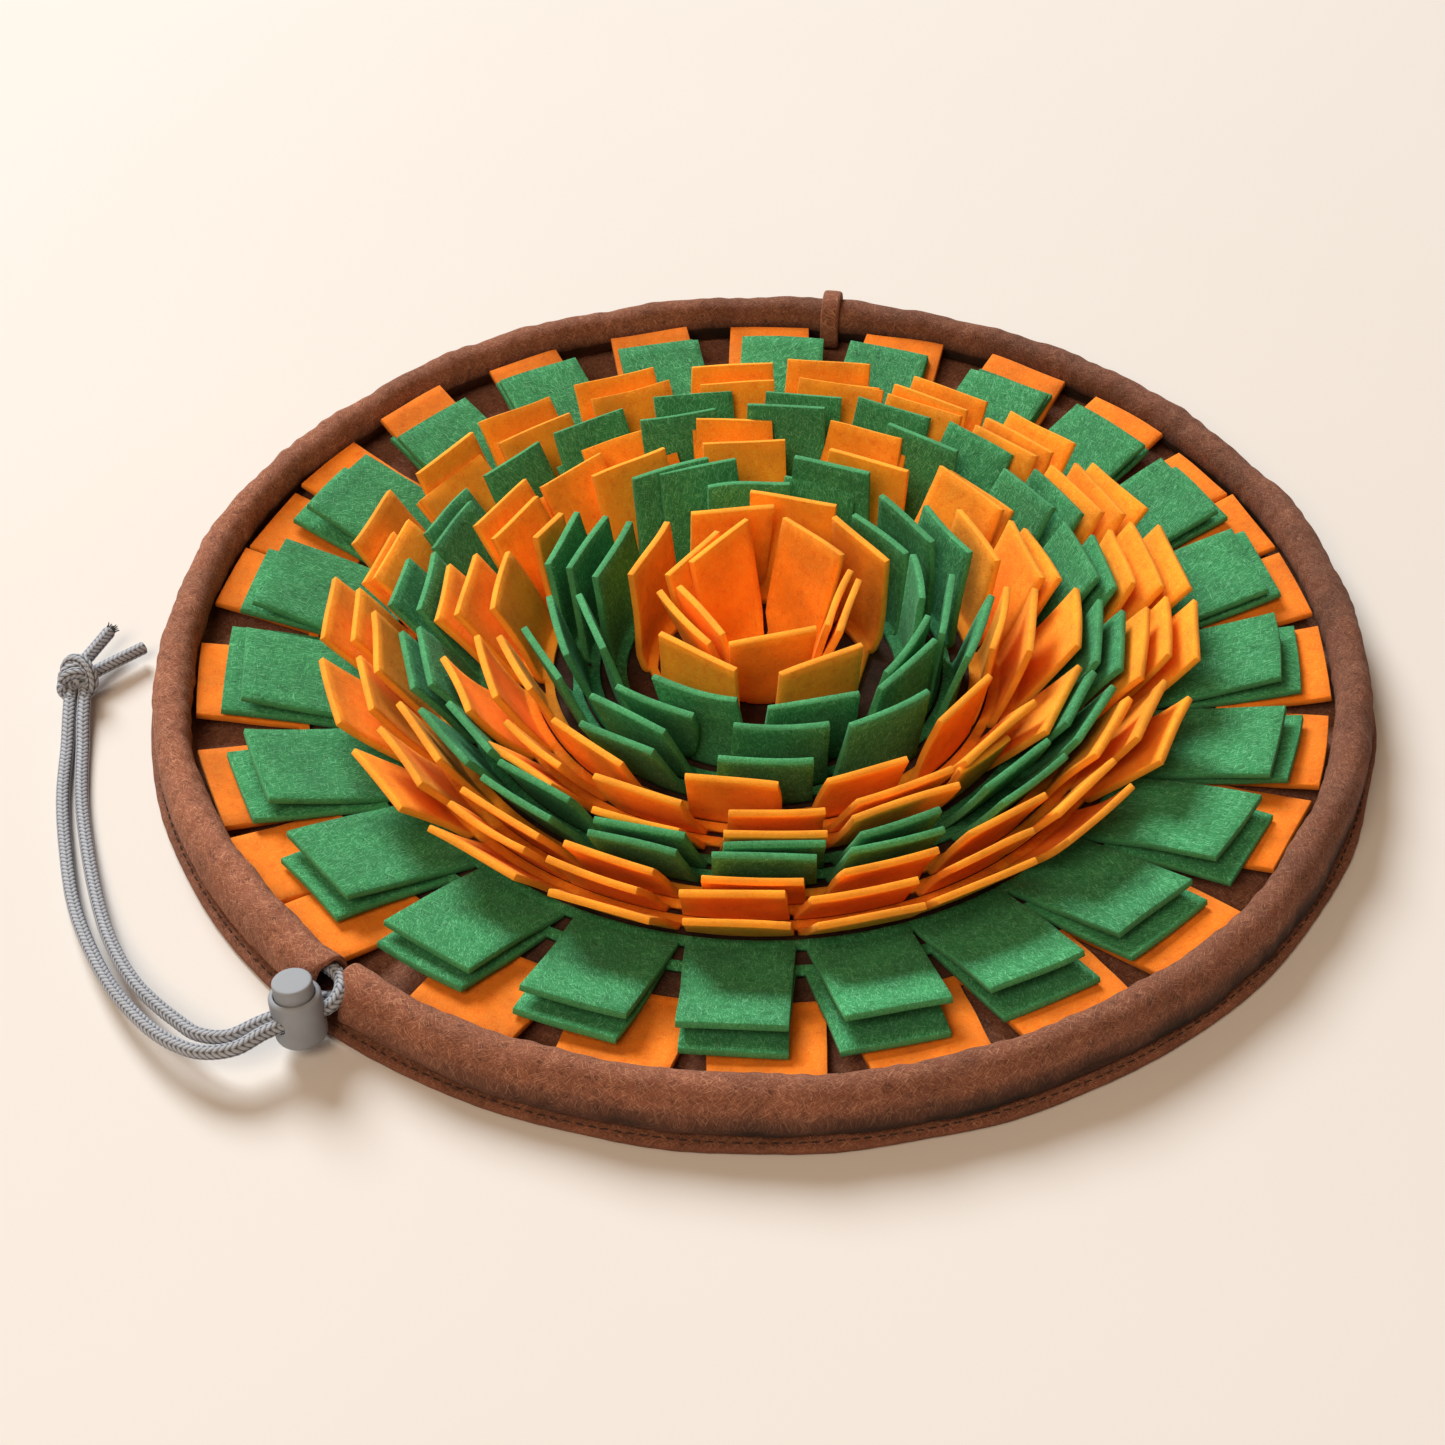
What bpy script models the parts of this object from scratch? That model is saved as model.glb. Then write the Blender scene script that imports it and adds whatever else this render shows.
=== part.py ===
"""Round felt snuffle bowl, laid open: rings of felt flaps sewn to a disc, with a drawstring in its rim.

Metres, +Z up. The origin is the centre of the underside of the base disc.
"""
import math

import bmesh
import bpy
from mathutils import Matrix, Vector

# Base disc and felt
BASE_RADIUS = 0.2305
FELT = 0.003
STRIP_FELT = 0.0026
GAP = 0.0003
BASE_SIDES = 96

# Rim casing, an upright oval tube of felt with a gap for the cord
SEAM_LIP = 0.0055
CASING_WIDTH = 0.0135
CASING_HEIGHT = 0.020
CASING_FELT = 0.0025
CASING_SIDES = 12
CASING_STEPS = 60
CASING_SQUARENESS_share = 0.85
CASING_GAP = 0.0123
GAP_AZIMUTH = -128.8

# Strap over the casing at the back
STRAP_WIDTH = 0.0078
STRAP_FELT = 0.0025
STRAP_SLACK = 0.0004
STRAP_AZIMUTH = 82.5

# Flap strips, from the rim inward
SEAM_WIDTH = 0.004
STRIP_GAP = 0.0016
FLAP_SLIT = 0.0012
FLAP_TIP_share = 0.96
RIM_CLEARANCE = 0.0016
FLAT_FLAP = 0.037
BROAD_FLAP = 0.046
STEEP_FLAP = 0.036
INNER_FLAP = 0.040
CENTRE_FLAP = 0.047

ORANGE = (0.75, 0.13, 0.005)
GREEN = (0.035, 0.17, 0.07)
BROWN = (0.12, 0.04, 0.018)
GREY = (0.42, 0.42, 0.43)
LOCK_GREY = (0.16, 0.15, 0.15)
STEEL = (0.55, 0.55, 0.55)

# name, colour, flaps, length, lean above the floor, azimuth of one flap
STRIPS = (
    ("ring_1_orange", ORANGE, 26, FLAT_FLAP, 12.0, -90.6),
    ("ring_2_green_lower", GREEN, 23, BROAD_FLAP, 15.0, -92.5),
    ("ring_2_green_upper", GREEN, 23, BROAD_FLAP, 22.0, -92.5),
    ("ring_3_orange_outer", ORANGE, 21, STEEP_FLAP, 53.0, -94.0),
    ("ring_3_orange_middle", ORANGE, 21, STEEP_FLAP, 58.0, -94.0),
    ("ring_3_orange_inner", ORANGE, 21, STEEP_FLAP, 61.0, -94.0),
    ("ring_4_green_outer", GREEN, 19, STEEP_FLAP, 59.0, -90.0),
    ("ring_4_green_inner", GREEN, 19, STEEP_FLAP, 61.0, -90.0),
    ("ring_5_orange_outer", ORANGE, 16, STEEP_FLAP, 60.0, -87.0),
    ("ring_5_orange_middle", ORANGE, 16, STEEP_FLAP, 62.0, -87.0),
    ("ring_5_orange_inner", ORANGE, 16, STEEP_FLAP, 69.0, -87.0),
    ("ring_6_green_outer", GREEN, 12, INNER_FLAP, 68.0, -88.0),
    ("ring_6_green_middle", GREEN, 12, INNER_FLAP, 72.0, -88.0),
    ("ring_6_green_inner", GREEN, 11, INNER_FLAP, 77.0, -74.0),
    ("centre_orange_outer", ORANGE, 8, CENTRE_FLAP, 84.0, -67.5),
    ("centre_orange_inner", ORANGE, 6, CENTRE_FLAP, 88.0, -82.0),
)

# Drawstring
CORD = 0.0048
CORD_SIDES = 2
CORD_STEP = 0.011
BEND_STEP_share = 0.6
STRAIGHT_shares = (0.4, 0.8)
RIM_CORD_POINTS = 54
MOUTH_DEPTH = 0.0042
MOUTH_RISE = 9.0
RISE_shares = (0, 0.1, 0.25, 0.4, 0.55, 0.7, 0.85)
OVER_LIFT = 0.0042
UNDER_DROP = 0.0010
EXIT_BEND = 0.0092
EXIT_STEPS = 6
CROSSING_OUT = 0.0032

# Cord lock
LOCK_OUT = 0.0195
LOCK_ASIDE = -0.0020
LOCK_HEIGHT = 0.0154
LOCK_AZIMUTH = -150.0
LOCK_TILT = 7.0
LOCK_TRAVEL = 0.008
STRAND_PITCH = 0.0052
STRAND_CLEARANCE = 0.0004
BARREL_RADIUS = 0.00875
BARREL_WALL = 0.00175
BARREL_FLOOR = 0.0013
BARREL_RISE = 0.009
BARREL_FILLET = 0.0016
BARREL_STEPS = 32
PLUNGER_CLEARANCE = 0.0003
PLUNGER_PROUD = 0.0053
PLUNGER_SOLE = 0.0012
PLUNGER_FILLET = 0.0008
PLUNGER_TRAVEL = 0.003
SPRING_WIRE = 0.0005
SPRING_INSET = 0.0014
SPRING_SOLID = 0.0018
SPRING_TURNS = 3
SPRING_TURN_POINTS = 10
CUT_OVERRUN = 0.004

# Free strands, from the straight run past the lock to the knot, along the floor
INNER_ROUTE = (
    (-0.1715, -0.1934, 0.0147),
    (-0.1771, -0.1935, 0.0140),
    (-0.1823, -0.1914, 0.0131),
    (-0.1890, -0.1858, 0.0120),
    (-0.1962, -0.1790, 0.0107),
    (-0.2092, -0.1637, 0.0085),
    (-0.2209, -0.1430, 0.0062),
    (-0.2298, -0.1205, 0.0044),
    (-0.2380, -0.0946, 0.0031),
    (-0.2445, -0.0693, 0.0026),
    (-0.2488, -0.0430, 0.0031),
    (-0.2503, -0.0330, 0.0047),
    (-0.2511, -0.0260, 0.0059),
)
OUTER_ROUTE = (
    (-0.1690, -0.1987, 0.0148),
    (-0.1757, -0.1998, 0.0140),
    (-0.1832, -0.1983, 0.0130),
    (-0.1914, -0.1934, 0.0116),
    (-0.2010, -0.1849, 0.0100),
    (-0.2148, -0.1680, 0.0078),
    (-0.2273, -0.1462, 0.0056),
    (-0.2374, -0.1230, 0.0038),
    (-0.2456, -0.0945, 0.0028),
    (-0.2512, -0.0693, 0.0026),
    (-0.2544, -0.0430, 0.0031),
    (-0.2556, -0.0330, 0.0047),
    (-0.2562, -0.0260, 0.0059),
)

# Knot of the two strands
KNOT_CENTRE = (-0.2555, -0.0100, 0.0076)
KNOT_HEADING = 97.0
KNOT_RADIUS = 0.0048
KNOT_WRAP = 0.00265
KNOT_LENGTH = 0.0135
KNOT_STUB = 0.0036
KNOT_ENTRY_HEIGHT = 0.0062
KNOT_SPREAD_share = 0.30
KNOT_LEAN = 28.0
END_LENGTHS = (0.0200, 0.0205)
END_HEADINGS = (66.0, 56.0)
END_ROOT = 0.0032
END_SINK = 0.0052


def clear_scene():
    for thing in list(bpy.data.objects):
        bpy.data.objects.remove(thing, do_unlink=True)


def new_collection(name):
    group = bpy.data.collections.new(name)
    bpy.context.scene.collection.children.link(group)
    return group


def material(name, colour, roughness, metallic=0.0):
    finish = bpy.data.materials.get(name)
    if finish is None:
        finish = bpy.data.materials.new(name)
        finish.use_nodes = True
        shader = finish.node_tree.nodes["Principled BSDF"]
        shader.inputs["Base Color"].default_value = (*colour, 1.0)
        shader.inputs["Roughness"].default_value = roughness
        shader.inputs["Metallic"].default_value = metallic
    return finish


def add_object(name, data, group, finish=None):
    thing = bpy.data.objects.new(name, data)
    group.objects.link(thing)
    if finish is not None:
        data.materials.append(finish)
    return thing


def mesh_object(name, points, edges, faces, group, finish=None):
    mesh = bpy.data.meshes.new(name)
    mesh.from_pydata(points, edges, faces)
    mesh.update()
    return add_object(name, mesh, group, finish)


def smooth(thing, angle=40.0):
    thing.data.shade_smooth()
    thing.data.set_sharp_from_angle(angle=math.radians(angle))


def polar(radius, azimuth, height=0.0):
    turn = math.radians(azimuth)
    return Vector((radius * math.cos(turn), radius * math.sin(turn), height))


def heading(azimuth):
    return polar(1.0, azimuth)


# Base

def make_base(parts):
    mesh = bpy.data.meshes.new("base_disc")
    work = bmesh.new()
    bmesh.ops.create_cone(
        work,
        cap_ends=True,
        segments=BASE_SIDES,
        radius1=BASE_RADIUS,
        radius2=BASE_RADIUS,
        depth=FELT,
        matrix=Matrix.Translation((0, 0, FELT / 2)),
    )
    work.to_mesh(mesh)
    work.free()
    base = add_object("base_disc", mesh, parts, material("brown_felt", BROWN, 0.95))
    smooth(base)
    return base


# Rim casing and strap

def casing_centre():
    return BASE_RADIUS - SEAM_LIP - CASING_WIDTH / 2


def casing_middle():
    return FELT + GAP + CASING_HEIGHT / 2


def oval_point(turn, grow=0.0):
    """Point of the casing's section, grown outward, at a turn in degrees from the outer side over the top."""
    angle = math.radians(turn)
    across = math.copysign(abs(math.cos(angle)) ** CASING_SQUARENESS_share, math.cos(angle))
    along = math.copysign(abs(math.sin(angle)) ** CASING_SQUARENESS_share, math.sin(angle))
    return (
        casing_centre() + (CASING_WIDTH / 2 + grow) * across,
        casing_middle() + (CASING_HEIGHT / 2 + grow) * along,
    )


def gap_half_angle():
    return math.degrees(CASING_GAP / 2 / casing_centre())


def make_casing(parts):
    section = []
    for index in range(CASING_SIDES):
        radius, height = oval_point(90.0 - (index + 0.5) * 360.0 / CASING_SIDES)
        section.append((radius, 0, height))
    edges = [(index, (index + 1) % CASING_SIDES) for index in range(CASING_SIDES)]
    casing = mesh_object("rim_casing", section, edges, [], parts, material("brown_felt", BROWN, 0.95))
    casing.rotation_euler.z = math.radians(GAP_AZIMUTH + gap_half_angle())
    screw = casing.modifiers.new("sweep", "SCREW")
    screw.angle = math.radians(360.0 - 2 * gap_half_angle())
    screw.steps = CASING_STEPS
    screw.render_steps = CASING_STEPS
    screw.use_smooth_shade = True
    wall = casing.modifiers.new("wall", "SOLIDIFY")
    wall.thickness = CASING_FELT
    wall.offset = -1.0
    return casing


def strap_path():
    """Line of the strap's underside, from the base outside the rim, over it, to the base inside."""
    line = [(oval_point(0.0, STRAP_SLACK)[0], FELT + GAP)]
    for step in range(9):
        line.append(oval_point(step * 22.5, STRAP_SLACK))
    line.append((oval_point(180.0, STRAP_SLACK)[0], FELT + GAP))
    return line


def make_strap(parts):
    points = []
    for radius, height in strap_path():
        for side in (-0.5, 0.5):
            points.append((radius, side * STRAP_WIDTH, height))
    faces = []
    for index in range(len(points) // 2 - 1):
        low = 2 * index
        faces.append((low, low + 1, low + 3, low + 2))
    strap = mesh_object("rim_strap", points, [], faces, parts, material("brown_felt", BROWN, 0.95))
    strap.rotation_euler.z = math.radians(STRAP_AZIMUTH)
    thick = strap.modifiers.new("thickness", "SOLIDIFY")
    thick.thickness = STRAP_FELT
    thick.offset = 1.0
    thick.use_even_offset = True
    return strap


# Flap strips

def strip_layout():
    """Root radius of each strip's flaps, packed inward from the casing's inner wall.

    Each strip starts where its flaps, leaning outward, clear the seam of the strip outside it.
    """
    inner_wall = oval_point(180.0)[0] - RIM_CLEARANCE
    radii = []
    edge = None
    outside = None
    for _name, _colour, flaps, length, lean, azimuth in STRIPS:
        rise = math.radians(lean)
        reach = STRIP_FELT * math.tan(rise / 2)
        over = (STRIP_FELT / math.cos(rise) + GAP) / math.tan(rise)
        corner = 1.0 if outside == (flaps, azimuth) else math.cos(math.pi / flaps)
        if edge is None:
            root = inner_wall - length * math.cos(rise)
        else:
            root = edge * corner - max(STRIP_GAP + reach, over)
        radii.append(root)
        edge = root - SEAM_WIDTH
        outside = (flaps, azimuth)
    return radii


def strip_surface(flaps, root, length, lean):
    """Upper face of a strip: a sewn-down ring of straight sides, with one leaning flap on each side."""
    pitch = math.radians(360.0 / flaps)
    width = 2 * root * math.tan(pitch / 2) - FLAP_SLIT
    tip = width * FLAP_TIP_share
    rise = math.radians(lean)
    floor = FELT + GAP + STRIP_FELT
    seam = (root - SEAM_WIDTH) / math.cos(pitch / 2)
    points = []
    faces = []
    for flap in range(flaps):
        turn = Matrix.Rotation(flap * pitch, 3, "Z")
        corner = Matrix.Rotation((flap - 0.5) * pitch, 3, "Z")
        points.append(corner @ Vector((seam, 0, floor)))
        points.append(turn @ Vector((root, -width / 2, floor)))
        points.append(turn @ Vector((root, width / 2, floor)))
        out = root + length * math.cos(rise)
        up = floor + length * math.sin(rise)
        points.append(turn @ Vector((out, -tip / 2, up)))
        points.append(turn @ Vector((out, tip / 2, up)))
    stride = 5
    for flap in range(flaps):
        here = flap * stride
        after = (flap + 1) % flaps * stride
        faces.append((here, here + 1, here + 2, after))
        faces.append((after, here + 2, after + 1))
        faces.append((here + 2, here + 1, here + 3, here + 4))
    return points, faces


def make_strip(parts, strip, root):
    name, colour, flaps, length, lean, azimuth = strip
    points, faces = strip_surface(flaps, root, length, lean)
    finish = material("orange_felt" if colour == ORANGE else "green_felt", colour, 0.95)
    ring = mesh_object(name, points, [], faces, parts, finish)
    ring.rotation_euler.z = math.radians(azimuth)
    thick = ring.modifiers.new("thickness", "SOLIDIFY")
    thick.solidify_mode = "NON_MANIFOLD"
    thick.nonmanifold_thickness_mode = "CONSTRAINTS"
    thick.thickness = STRIP_FELT
    thick.offset = -1.0
    return ring


# Cord routes

def gap_frame():
    """Axes at the middle of the casing's gap: outward and along the rim."""
    out = heading(GAP_AZIMUTH)
    along = heading(GAP_AZIMUTH + 90.0)
    return out, along


def gap_point(outward, aside, height):
    out, along = gap_frame()
    point = out * (casing_centre() + outward) + along * aside
    return Vector((point.x, point.y, height))


def lock_axes():
    """Axes of the lock: along the strands, across them, and up the plunger."""
    run = heading(LOCK_AZIMUTH)
    level = heading(LOCK_AZIMUTH + 90.0)
    tilt = Matrix.Rotation(math.radians(LOCK_TILT), 3, run)
    return run, tilt @ level, tilt @ Vector((0, 0, 1))


def lock_centre():
    return gap_point(LOCK_OUT, LOCK_ASIDE, LOCK_HEIGHT)


def straight_run(side):
    """The two ends of a strand's straight stretch, through the lock and along its travel."""
    run, across, _up = lock_axes()
    middle = lock_centre() + across * (side * STRAND_PITCH / 2)
    start = middle - run * (BARREL_RADIUS - STRAND_CLEARANCE)
    end = middle + run * (BARREL_RADIUS + LOCK_TRAVEL + CORD / 4)
    return start, end


def exit_bend(side):
    """Bend of a strand from its mouth of the casing to the lock, one strand crossing above the other."""
    start, _end = straight_run(side)
    out, along = gap_frame()
    swing = math.radians(LOCK_AZIMUTH - GAP_AZIMUTH)
    turn = math.radians(90.0) - side * swing
    line = start - lock_centre()
    start_out = LOCK_OUT + line.dot(out)
    start_aside = LOCK_ASIDE + line.dot(along)
    bend_out = EXIT_BEND * (1 - math.cos(turn))
    bend_aside = start_aside + (bend_out - start_out) * math.tan(swing)
    first = bend_aside - side * EXIT_BEND * math.sin(turn)
    height = casing_middle() + (OVER_LIFT if side > 0 else -UNDER_DROP)
    mouth = side * -(CASING_GAP / 2 + MOUTH_DEPTH)
    points = [gap_point(0, mouth, height), gap_point(0, (mouth + first) / 2, height)]
    for step in range(EXIT_STEPS + 1):
        part = turn * step / EXIT_STEPS
        outward = EXIT_BEND * (1 - math.cos(part))
        climb = smoothstep((outward - CROSSING_OUT) / (start_out - CROSSING_OUT))
        level = height + (start.z - height) * climb
        points.append(gap_point(outward, first + side * EXIT_BEND * math.sin(part), level))
    return points


def smooth_line(points, step):
    """Points read at an even step along a Catmull-Rom curve through the given points."""
    ends = [2 * points[0] - points[1], *points, 2 * points[-1] - points[-2]]
    fine = []
    samples = 12
    for index in range(1, len(ends) - 2):
        before, here, there, after = ends[index - 1:index + 3]
        for sample in range(samples):
            t = sample / samples
            fine.append(0.5 * (
                2 * here
                + (there - before) * t
                + (2 * before - 5 * here + 4 * there - after) * t ** 2
                + (3 * here - before - 3 * there + after) * t ** 3
            ))
    fine.append(points[-1].copy())
    length = sum((b - a).length for a, b in zip(fine, fine[1:]))
    count = max(2, round(length / step))
    line = [fine[0]]
    target = length / count
    walked = 0.0
    for a, b in zip(fine, fine[1:]):
        span = (b - a).length
        while walked + span >= target * len(line) and len(line) < count:
            line.append(a.lerp(b, (target * len(line) - walked) / span))
        walked += span
    line.append(fine[-1])
    return line


def strand_points(side):
    """A strand from its mouth, through the lock, to the knot: fine in the bend, coarser along the floor."""
    start, end = straight_run(side)
    route = OUTER_ROUTE if side > 0 else INNER_ROUTE
    near = smooth_line([*exit_bend(side), start], CORD * BEND_STEP_share)
    straight = [start.lerp(end, share) for share in STRAIGHT_shares]
    far = smooth_line([straight[-1], end, *(Vector(point) for point in route), knot_entry(side)], CORD_STEP)
    return [*near, *straight, *far[1:]]


def tube(name, points, parts, finish, radius=CORD / 2, sides=CORD_SIDES):
    curve = bpy.data.curves.new(name, "CURVE")
    curve.dimensions = "3D"
    curve.bevel_depth = radius
    curve.bevel_resolution = sides
    curve.use_fill_caps = True
    curve.resolution_u = 1
    curve.render_resolution_u = 0
    line = curve.splines.new("POLY")
    line.points.add(len(points) - 1)
    for slot, point in zip(line.points, points):
        slot.co = (*point, 1.0)
    return add_object(name, curve, parts, finish)


def smoothstep(share):
    share = min(1.0, max(0.0, share))
    return share * share * (3 - 2 * share)


def make_rim_cord(parts):
    """The drawstring inside the casing, lying on its floor and rising to a mouth at each end."""
    rest = FELT + GAP + CASING_FELT + GAP + CORD / 2
    inset = math.degrees((CASING_GAP / 2 + MOUTH_DEPTH + GAP) / casing_centre())
    sweep = 360.0 - 2 * inset
    near = [MOUTH_RISE * share for share in RISE_shares]
    middle = sweep - 2 * MOUTH_RISE
    turns = [*near, *(MOUTH_RISE + middle * index / RIM_CORD_POINTS for index in range(RIM_CORD_POINTS + 1))]
    turns.extend(sweep - turn for turn in reversed(near))
    points = []
    for turn in turns:
        under_end = 1 - smoothstep(turn / MOUTH_RISE)
        over_end = 1 - smoothstep((sweep - turn) / MOUTH_RISE)
        height = rest
        height += (casing_middle() - UNDER_DROP - rest) * under_end
        height += (casing_middle() + OVER_LIFT - rest) * over_end
        points.append(polar(casing_centre(), GAP_AZIMUTH + inset + turn, height))
    return tube("drawstring_in_rim", points, parts, material("grey_cord", GREY, 0.8))


# Knot

def knot_axes():
    forward = heading(KNOT_HEADING)
    across = heading(KNOT_HEADING - 90.0)
    return forward, across


def knot_entry(side, past=0.0):
    """Where a strand meets its own end in front of the knot, or a point past it inside the knot."""
    forward, across = knot_axes()
    centre = Vector(KNOT_CENTRE)
    near = centre - forward * (KNOT_LENGTH / 2 + KNOT_STUB - past) - across * (side * STRAND_PITCH / 2)
    return Vector((near.x, near.y, KNOT_ENTRY_HEIGHT))


def joined(name, pieces, parts, finish):
    """One closed body from closed pieces that overlap clearly, by Boolean unions."""
    body = pieces[0]
    for extra in pieces[1:]:
        union = body.modifiers.new("join", "BOOLEAN")
        union.operation = "UNION"
        union.solver = "EXACT"
        union.object = extra
        extra.hide_render = True
        extra.display_type = "WIRE"
    body.name = name
    body.data.materials.clear()
    body.data.materials.append(finish)
    return body


def solid_tube(name, points, group, radius, sides=CORD_SIDES):
    """A tube made a mesh with welded caps, so that it can be cut or joined."""
    curve = tube(name, points, group, None, radius, sides)
    graph = bpy.context.evaluated_depsgraph_get()
    mesh = bpy.data.meshes.new_from_object(curve.evaluated_get(graph))
    work = bmesh.new()
    work.from_mesh(mesh)
    bmesh.ops.remove_doubles(work, verts=work.verts, dist=radius / 100)
    bmesh.ops.recalc_face_normals(work, faces=work.faces)
    work.to_mesh(mesh)
    work.free()
    place = curve.matrix_world.copy()
    bpy.data.objects.remove(curve, do_unlink=True)
    solid = add_object(name, mesh, group)
    solid.matrix_world = place
    return solid


def knot_loop(lean, shift):
    """A wrap of the knot: an oval loop about both strands, leaned across them."""
    forward, across = knot_axes()
    centre = Vector(KNOT_CENTRE) + forward * shift
    side = Matrix.Rotation(math.radians(lean), 3, "Z") @ across
    up = Vector((0, 0, 1))
    wide = KNOT_RADIUS + KNOT_WRAP / 4
    turns = 14
    return [
        centre
        + side * (wide * math.cos(2 * math.pi * index / turns))
        + up * ((KNOT_RADIUS - KNOT_WRAP / 4) * math.sin(2 * math.pi * index / turns))
        for index in range(turns)
    ]


def loop_solid(name, points, group, radius):
    """A closed tube along a loop of points."""
    curve = tube(name, points, group, None, radius, 2)
    curve.data.splines[0].use_cyclic_u = True
    graph = bpy.context.evaluated_depsgraph_get()
    mesh = bpy.data.meshes.new_from_object(curve.evaluated_get(graph))
    bpy.data.objects.remove(curve, do_unlink=True)
    return add_object(name, mesh, group)


def make_knot(parts, cutters):
    """Overhand knot: a core about the strands, three leaning wraps and the two short ends."""
    forward, across = knot_axes()
    centre = Vector(KNOT_CENTRE)
    half = forward * (KNOT_LENGTH / 2)
    core = solid_tube("knot_core", [centre - half, centre, centre + half], parts, KNOT_RADIUS)
    spread = KNOT_LENGTH * KNOT_SPREAD_share
    pieces = [core]
    for index, (lean, shift) in enumerate(((KNOT_LEAN, -spread), (-KNOT_LEAN, 0), (KNOT_LEAN, spread))):
        pieces.append(loop_solid(f"knot_wrap_{index}", knot_loop(lean, shift), cutters, KNOT_WRAP))
    for side in (-1, 1):
        line = [knot_entry(side, GAP), knot_entry(side, KNOT_STUB * 2)]
        pieces.append(solid_tube(f"knot_stub_{side}", line, cutters, CORD / 2))
    for index, (length, turn) in enumerate(zip(END_LENGTHS, END_HEADINGS)):
        side = index - 0.5
        root = centre + forward * (KNOT_LENGTH / 2 - END_SINK) + across * (side * 2 * END_ROOT)
        way = heading(turn)
        drop = Vector((0, 0, CORD / 2 - centre.z))
        points = [
            root,
            root + way * (length * 0.45) + drop * 0.35,
            root + way * (length + END_SINK) + drop * 0.9,
        ]
        pieces.append(solid_tube(f"knot_end_{index}", smooth_line(points, CORD), cutters, CORD / 2))
    return joined("drawstring_knot", pieces, parts, material("grey_cord", GREY, 0.8))


# Cord lock

def lock_matrix():
    run, across, up = lock_axes()
    turn = Matrix((run, across, up)).transposed().to_4x4()
    return Matrix.Translation(lock_centre()) @ turn


def barrel_floor_height():
    """Height of the bore's floor, below the strands, with room for the closed spring."""
    return -(CORD / 2 + STRAND_CLEARANCE + PLUNGER_SOLE + PLUNGER_TRAVEL + SPRING_SOLID)


def fillet_points(radius, height, fillet, steps=3):
    """Rounded outer corner of a turned profile, from its top to its side."""
    points = []
    for step in range(steps + 1):
        turn = math.pi / 2 * (1 - step / steps)
        points.append((
            radius - fillet + fillet * math.cos(turn),
            height - fillet + fillet * math.sin(turn),
        ))
    return points


def turned(name, outline, group, finish, steps=BARREL_STEPS):
    """A closed turned body: the outline starts and ends on the axis, running down its outer side."""
    points = [(radius, 0, height) for radius, height in outline]
    edges = [(index, index + 1) for index in range(len(points) - 1)]
    body = mesh_object(name, points, edges, [], group, finish)
    screw = body.modifiers.new("turn", "SCREW")
    screw.steps = steps
    screw.render_steps = steps
    screw.use_merge_vertices = True
    screw.merge_threshold = STRAND_CLEARANCE / 100
    screw.use_smooth_shade = True
    return body


def stadium_cutter(name, low, high, group):
    """Cutter for the strands' hole: round ends, along the strands, from one height to another."""
    half_width = STRAND_PITCH / 2 + CORD / 2 + STRAND_CLEARANCE
    corner = CORD / 2
    outline = []
    for cx, cy, first in (
        (half_width - corner, high - corner, 0.0),
        (corner - half_width, high - corner, 90.0),
        (corner - half_width, low + corner, 180.0),
        (half_width - corner, low + corner, 270.0),
    ):
        for step in range(4):
            turn = math.radians(first + step * 30.0)
            outline.append((0, cx + corner * math.cos(turn), cy + corner * math.sin(turn)))
    reach = BARREL_RADIUS + CUT_OVERRUN
    work = bmesh.new()
    ring = [work.verts.new((-reach, y, z)) for _x, y, z in outline]
    face = work.faces.new(ring)
    grown = bmesh.ops.extrude_face_region(work, geom=[face])
    moved = [item for item in grown["geom"] if isinstance(item, bmesh.types.BMVert)]
    bmesh.ops.translate(work, verts=moved, vec=(2 * reach, 0, 0))
    bmesh.ops.recalc_face_normals(work, faces=work.faces)
    mesh = bpy.data.meshes.new(name)
    work.to_mesh(mesh)
    work.free()
    cutter = add_object(name, mesh, group)
    cutter.hide_render = True
    cutter.display_type = "WIRE"
    return cutter


def cut(body, cutter):
    hole = body.modifiers.new("hole", "BOOLEAN")
    hole.operation = "DIFFERENCE"
    hole.solver = "EXACT"
    hole.object = cutter


def make_lock(parts, cutters):
    place = lock_matrix()
    hole_low = -(CORD / 2 + STRAND_CLEARANCE)
    hole_high = CORD / 2 + STRAND_CLEARANCE
    floor = barrel_floor_height()
    bore = BARREL_RADIUS - BARREL_WALL
    outline = [
        (bore, floor),
        (bore, BARREL_RISE),
        *fillet_points(BARREL_RADIUS, BARREL_RISE, BARREL_FILLET),
        (BARREL_RADIUS, floor - BARREL_FLOOR + BARREL_FILLET / 2),
        (BARREL_RADIUS - BARREL_FILLET / 2, floor - BARREL_FLOOR),
        (0, floor - BARREL_FLOOR),
    ]
    barrel = turned("lock_barrel", [(0, floor), *outline], parts, material("grey_plastic", LOCK_GREY, 0.45))
    barrel.matrix_world = place
    slot = stadium_cutter("barrel_slot", hole_low, hole_high, cutters)
    slot.matrix_world = place
    cut(barrel, slot)

    radius = bore - PLUNGER_CLEARANCE
    top = BARREL_RISE + PLUNGER_PROUD
    sole = hole_low - PLUNGER_SOLE
    button = [
        (0, top),
        *fillet_points(radius, top, PLUNGER_FILLET),
        (radius, sole),
        (0, sole),
    ]
    plunger = turned("lock_plunger", button, parts, material("grey_plastic", LOCK_GREY, 0.45))
    plunger.matrix_world = place
    eye = stadium_cutter("plunger_eye", hole_low, hole_high + PLUNGER_TRAVEL, cutters)
    eye.matrix_world = place
    cut(plunger, eye)

    make_spring(parts, place, floor, sole, radius)
    return barrel, plunger


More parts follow.
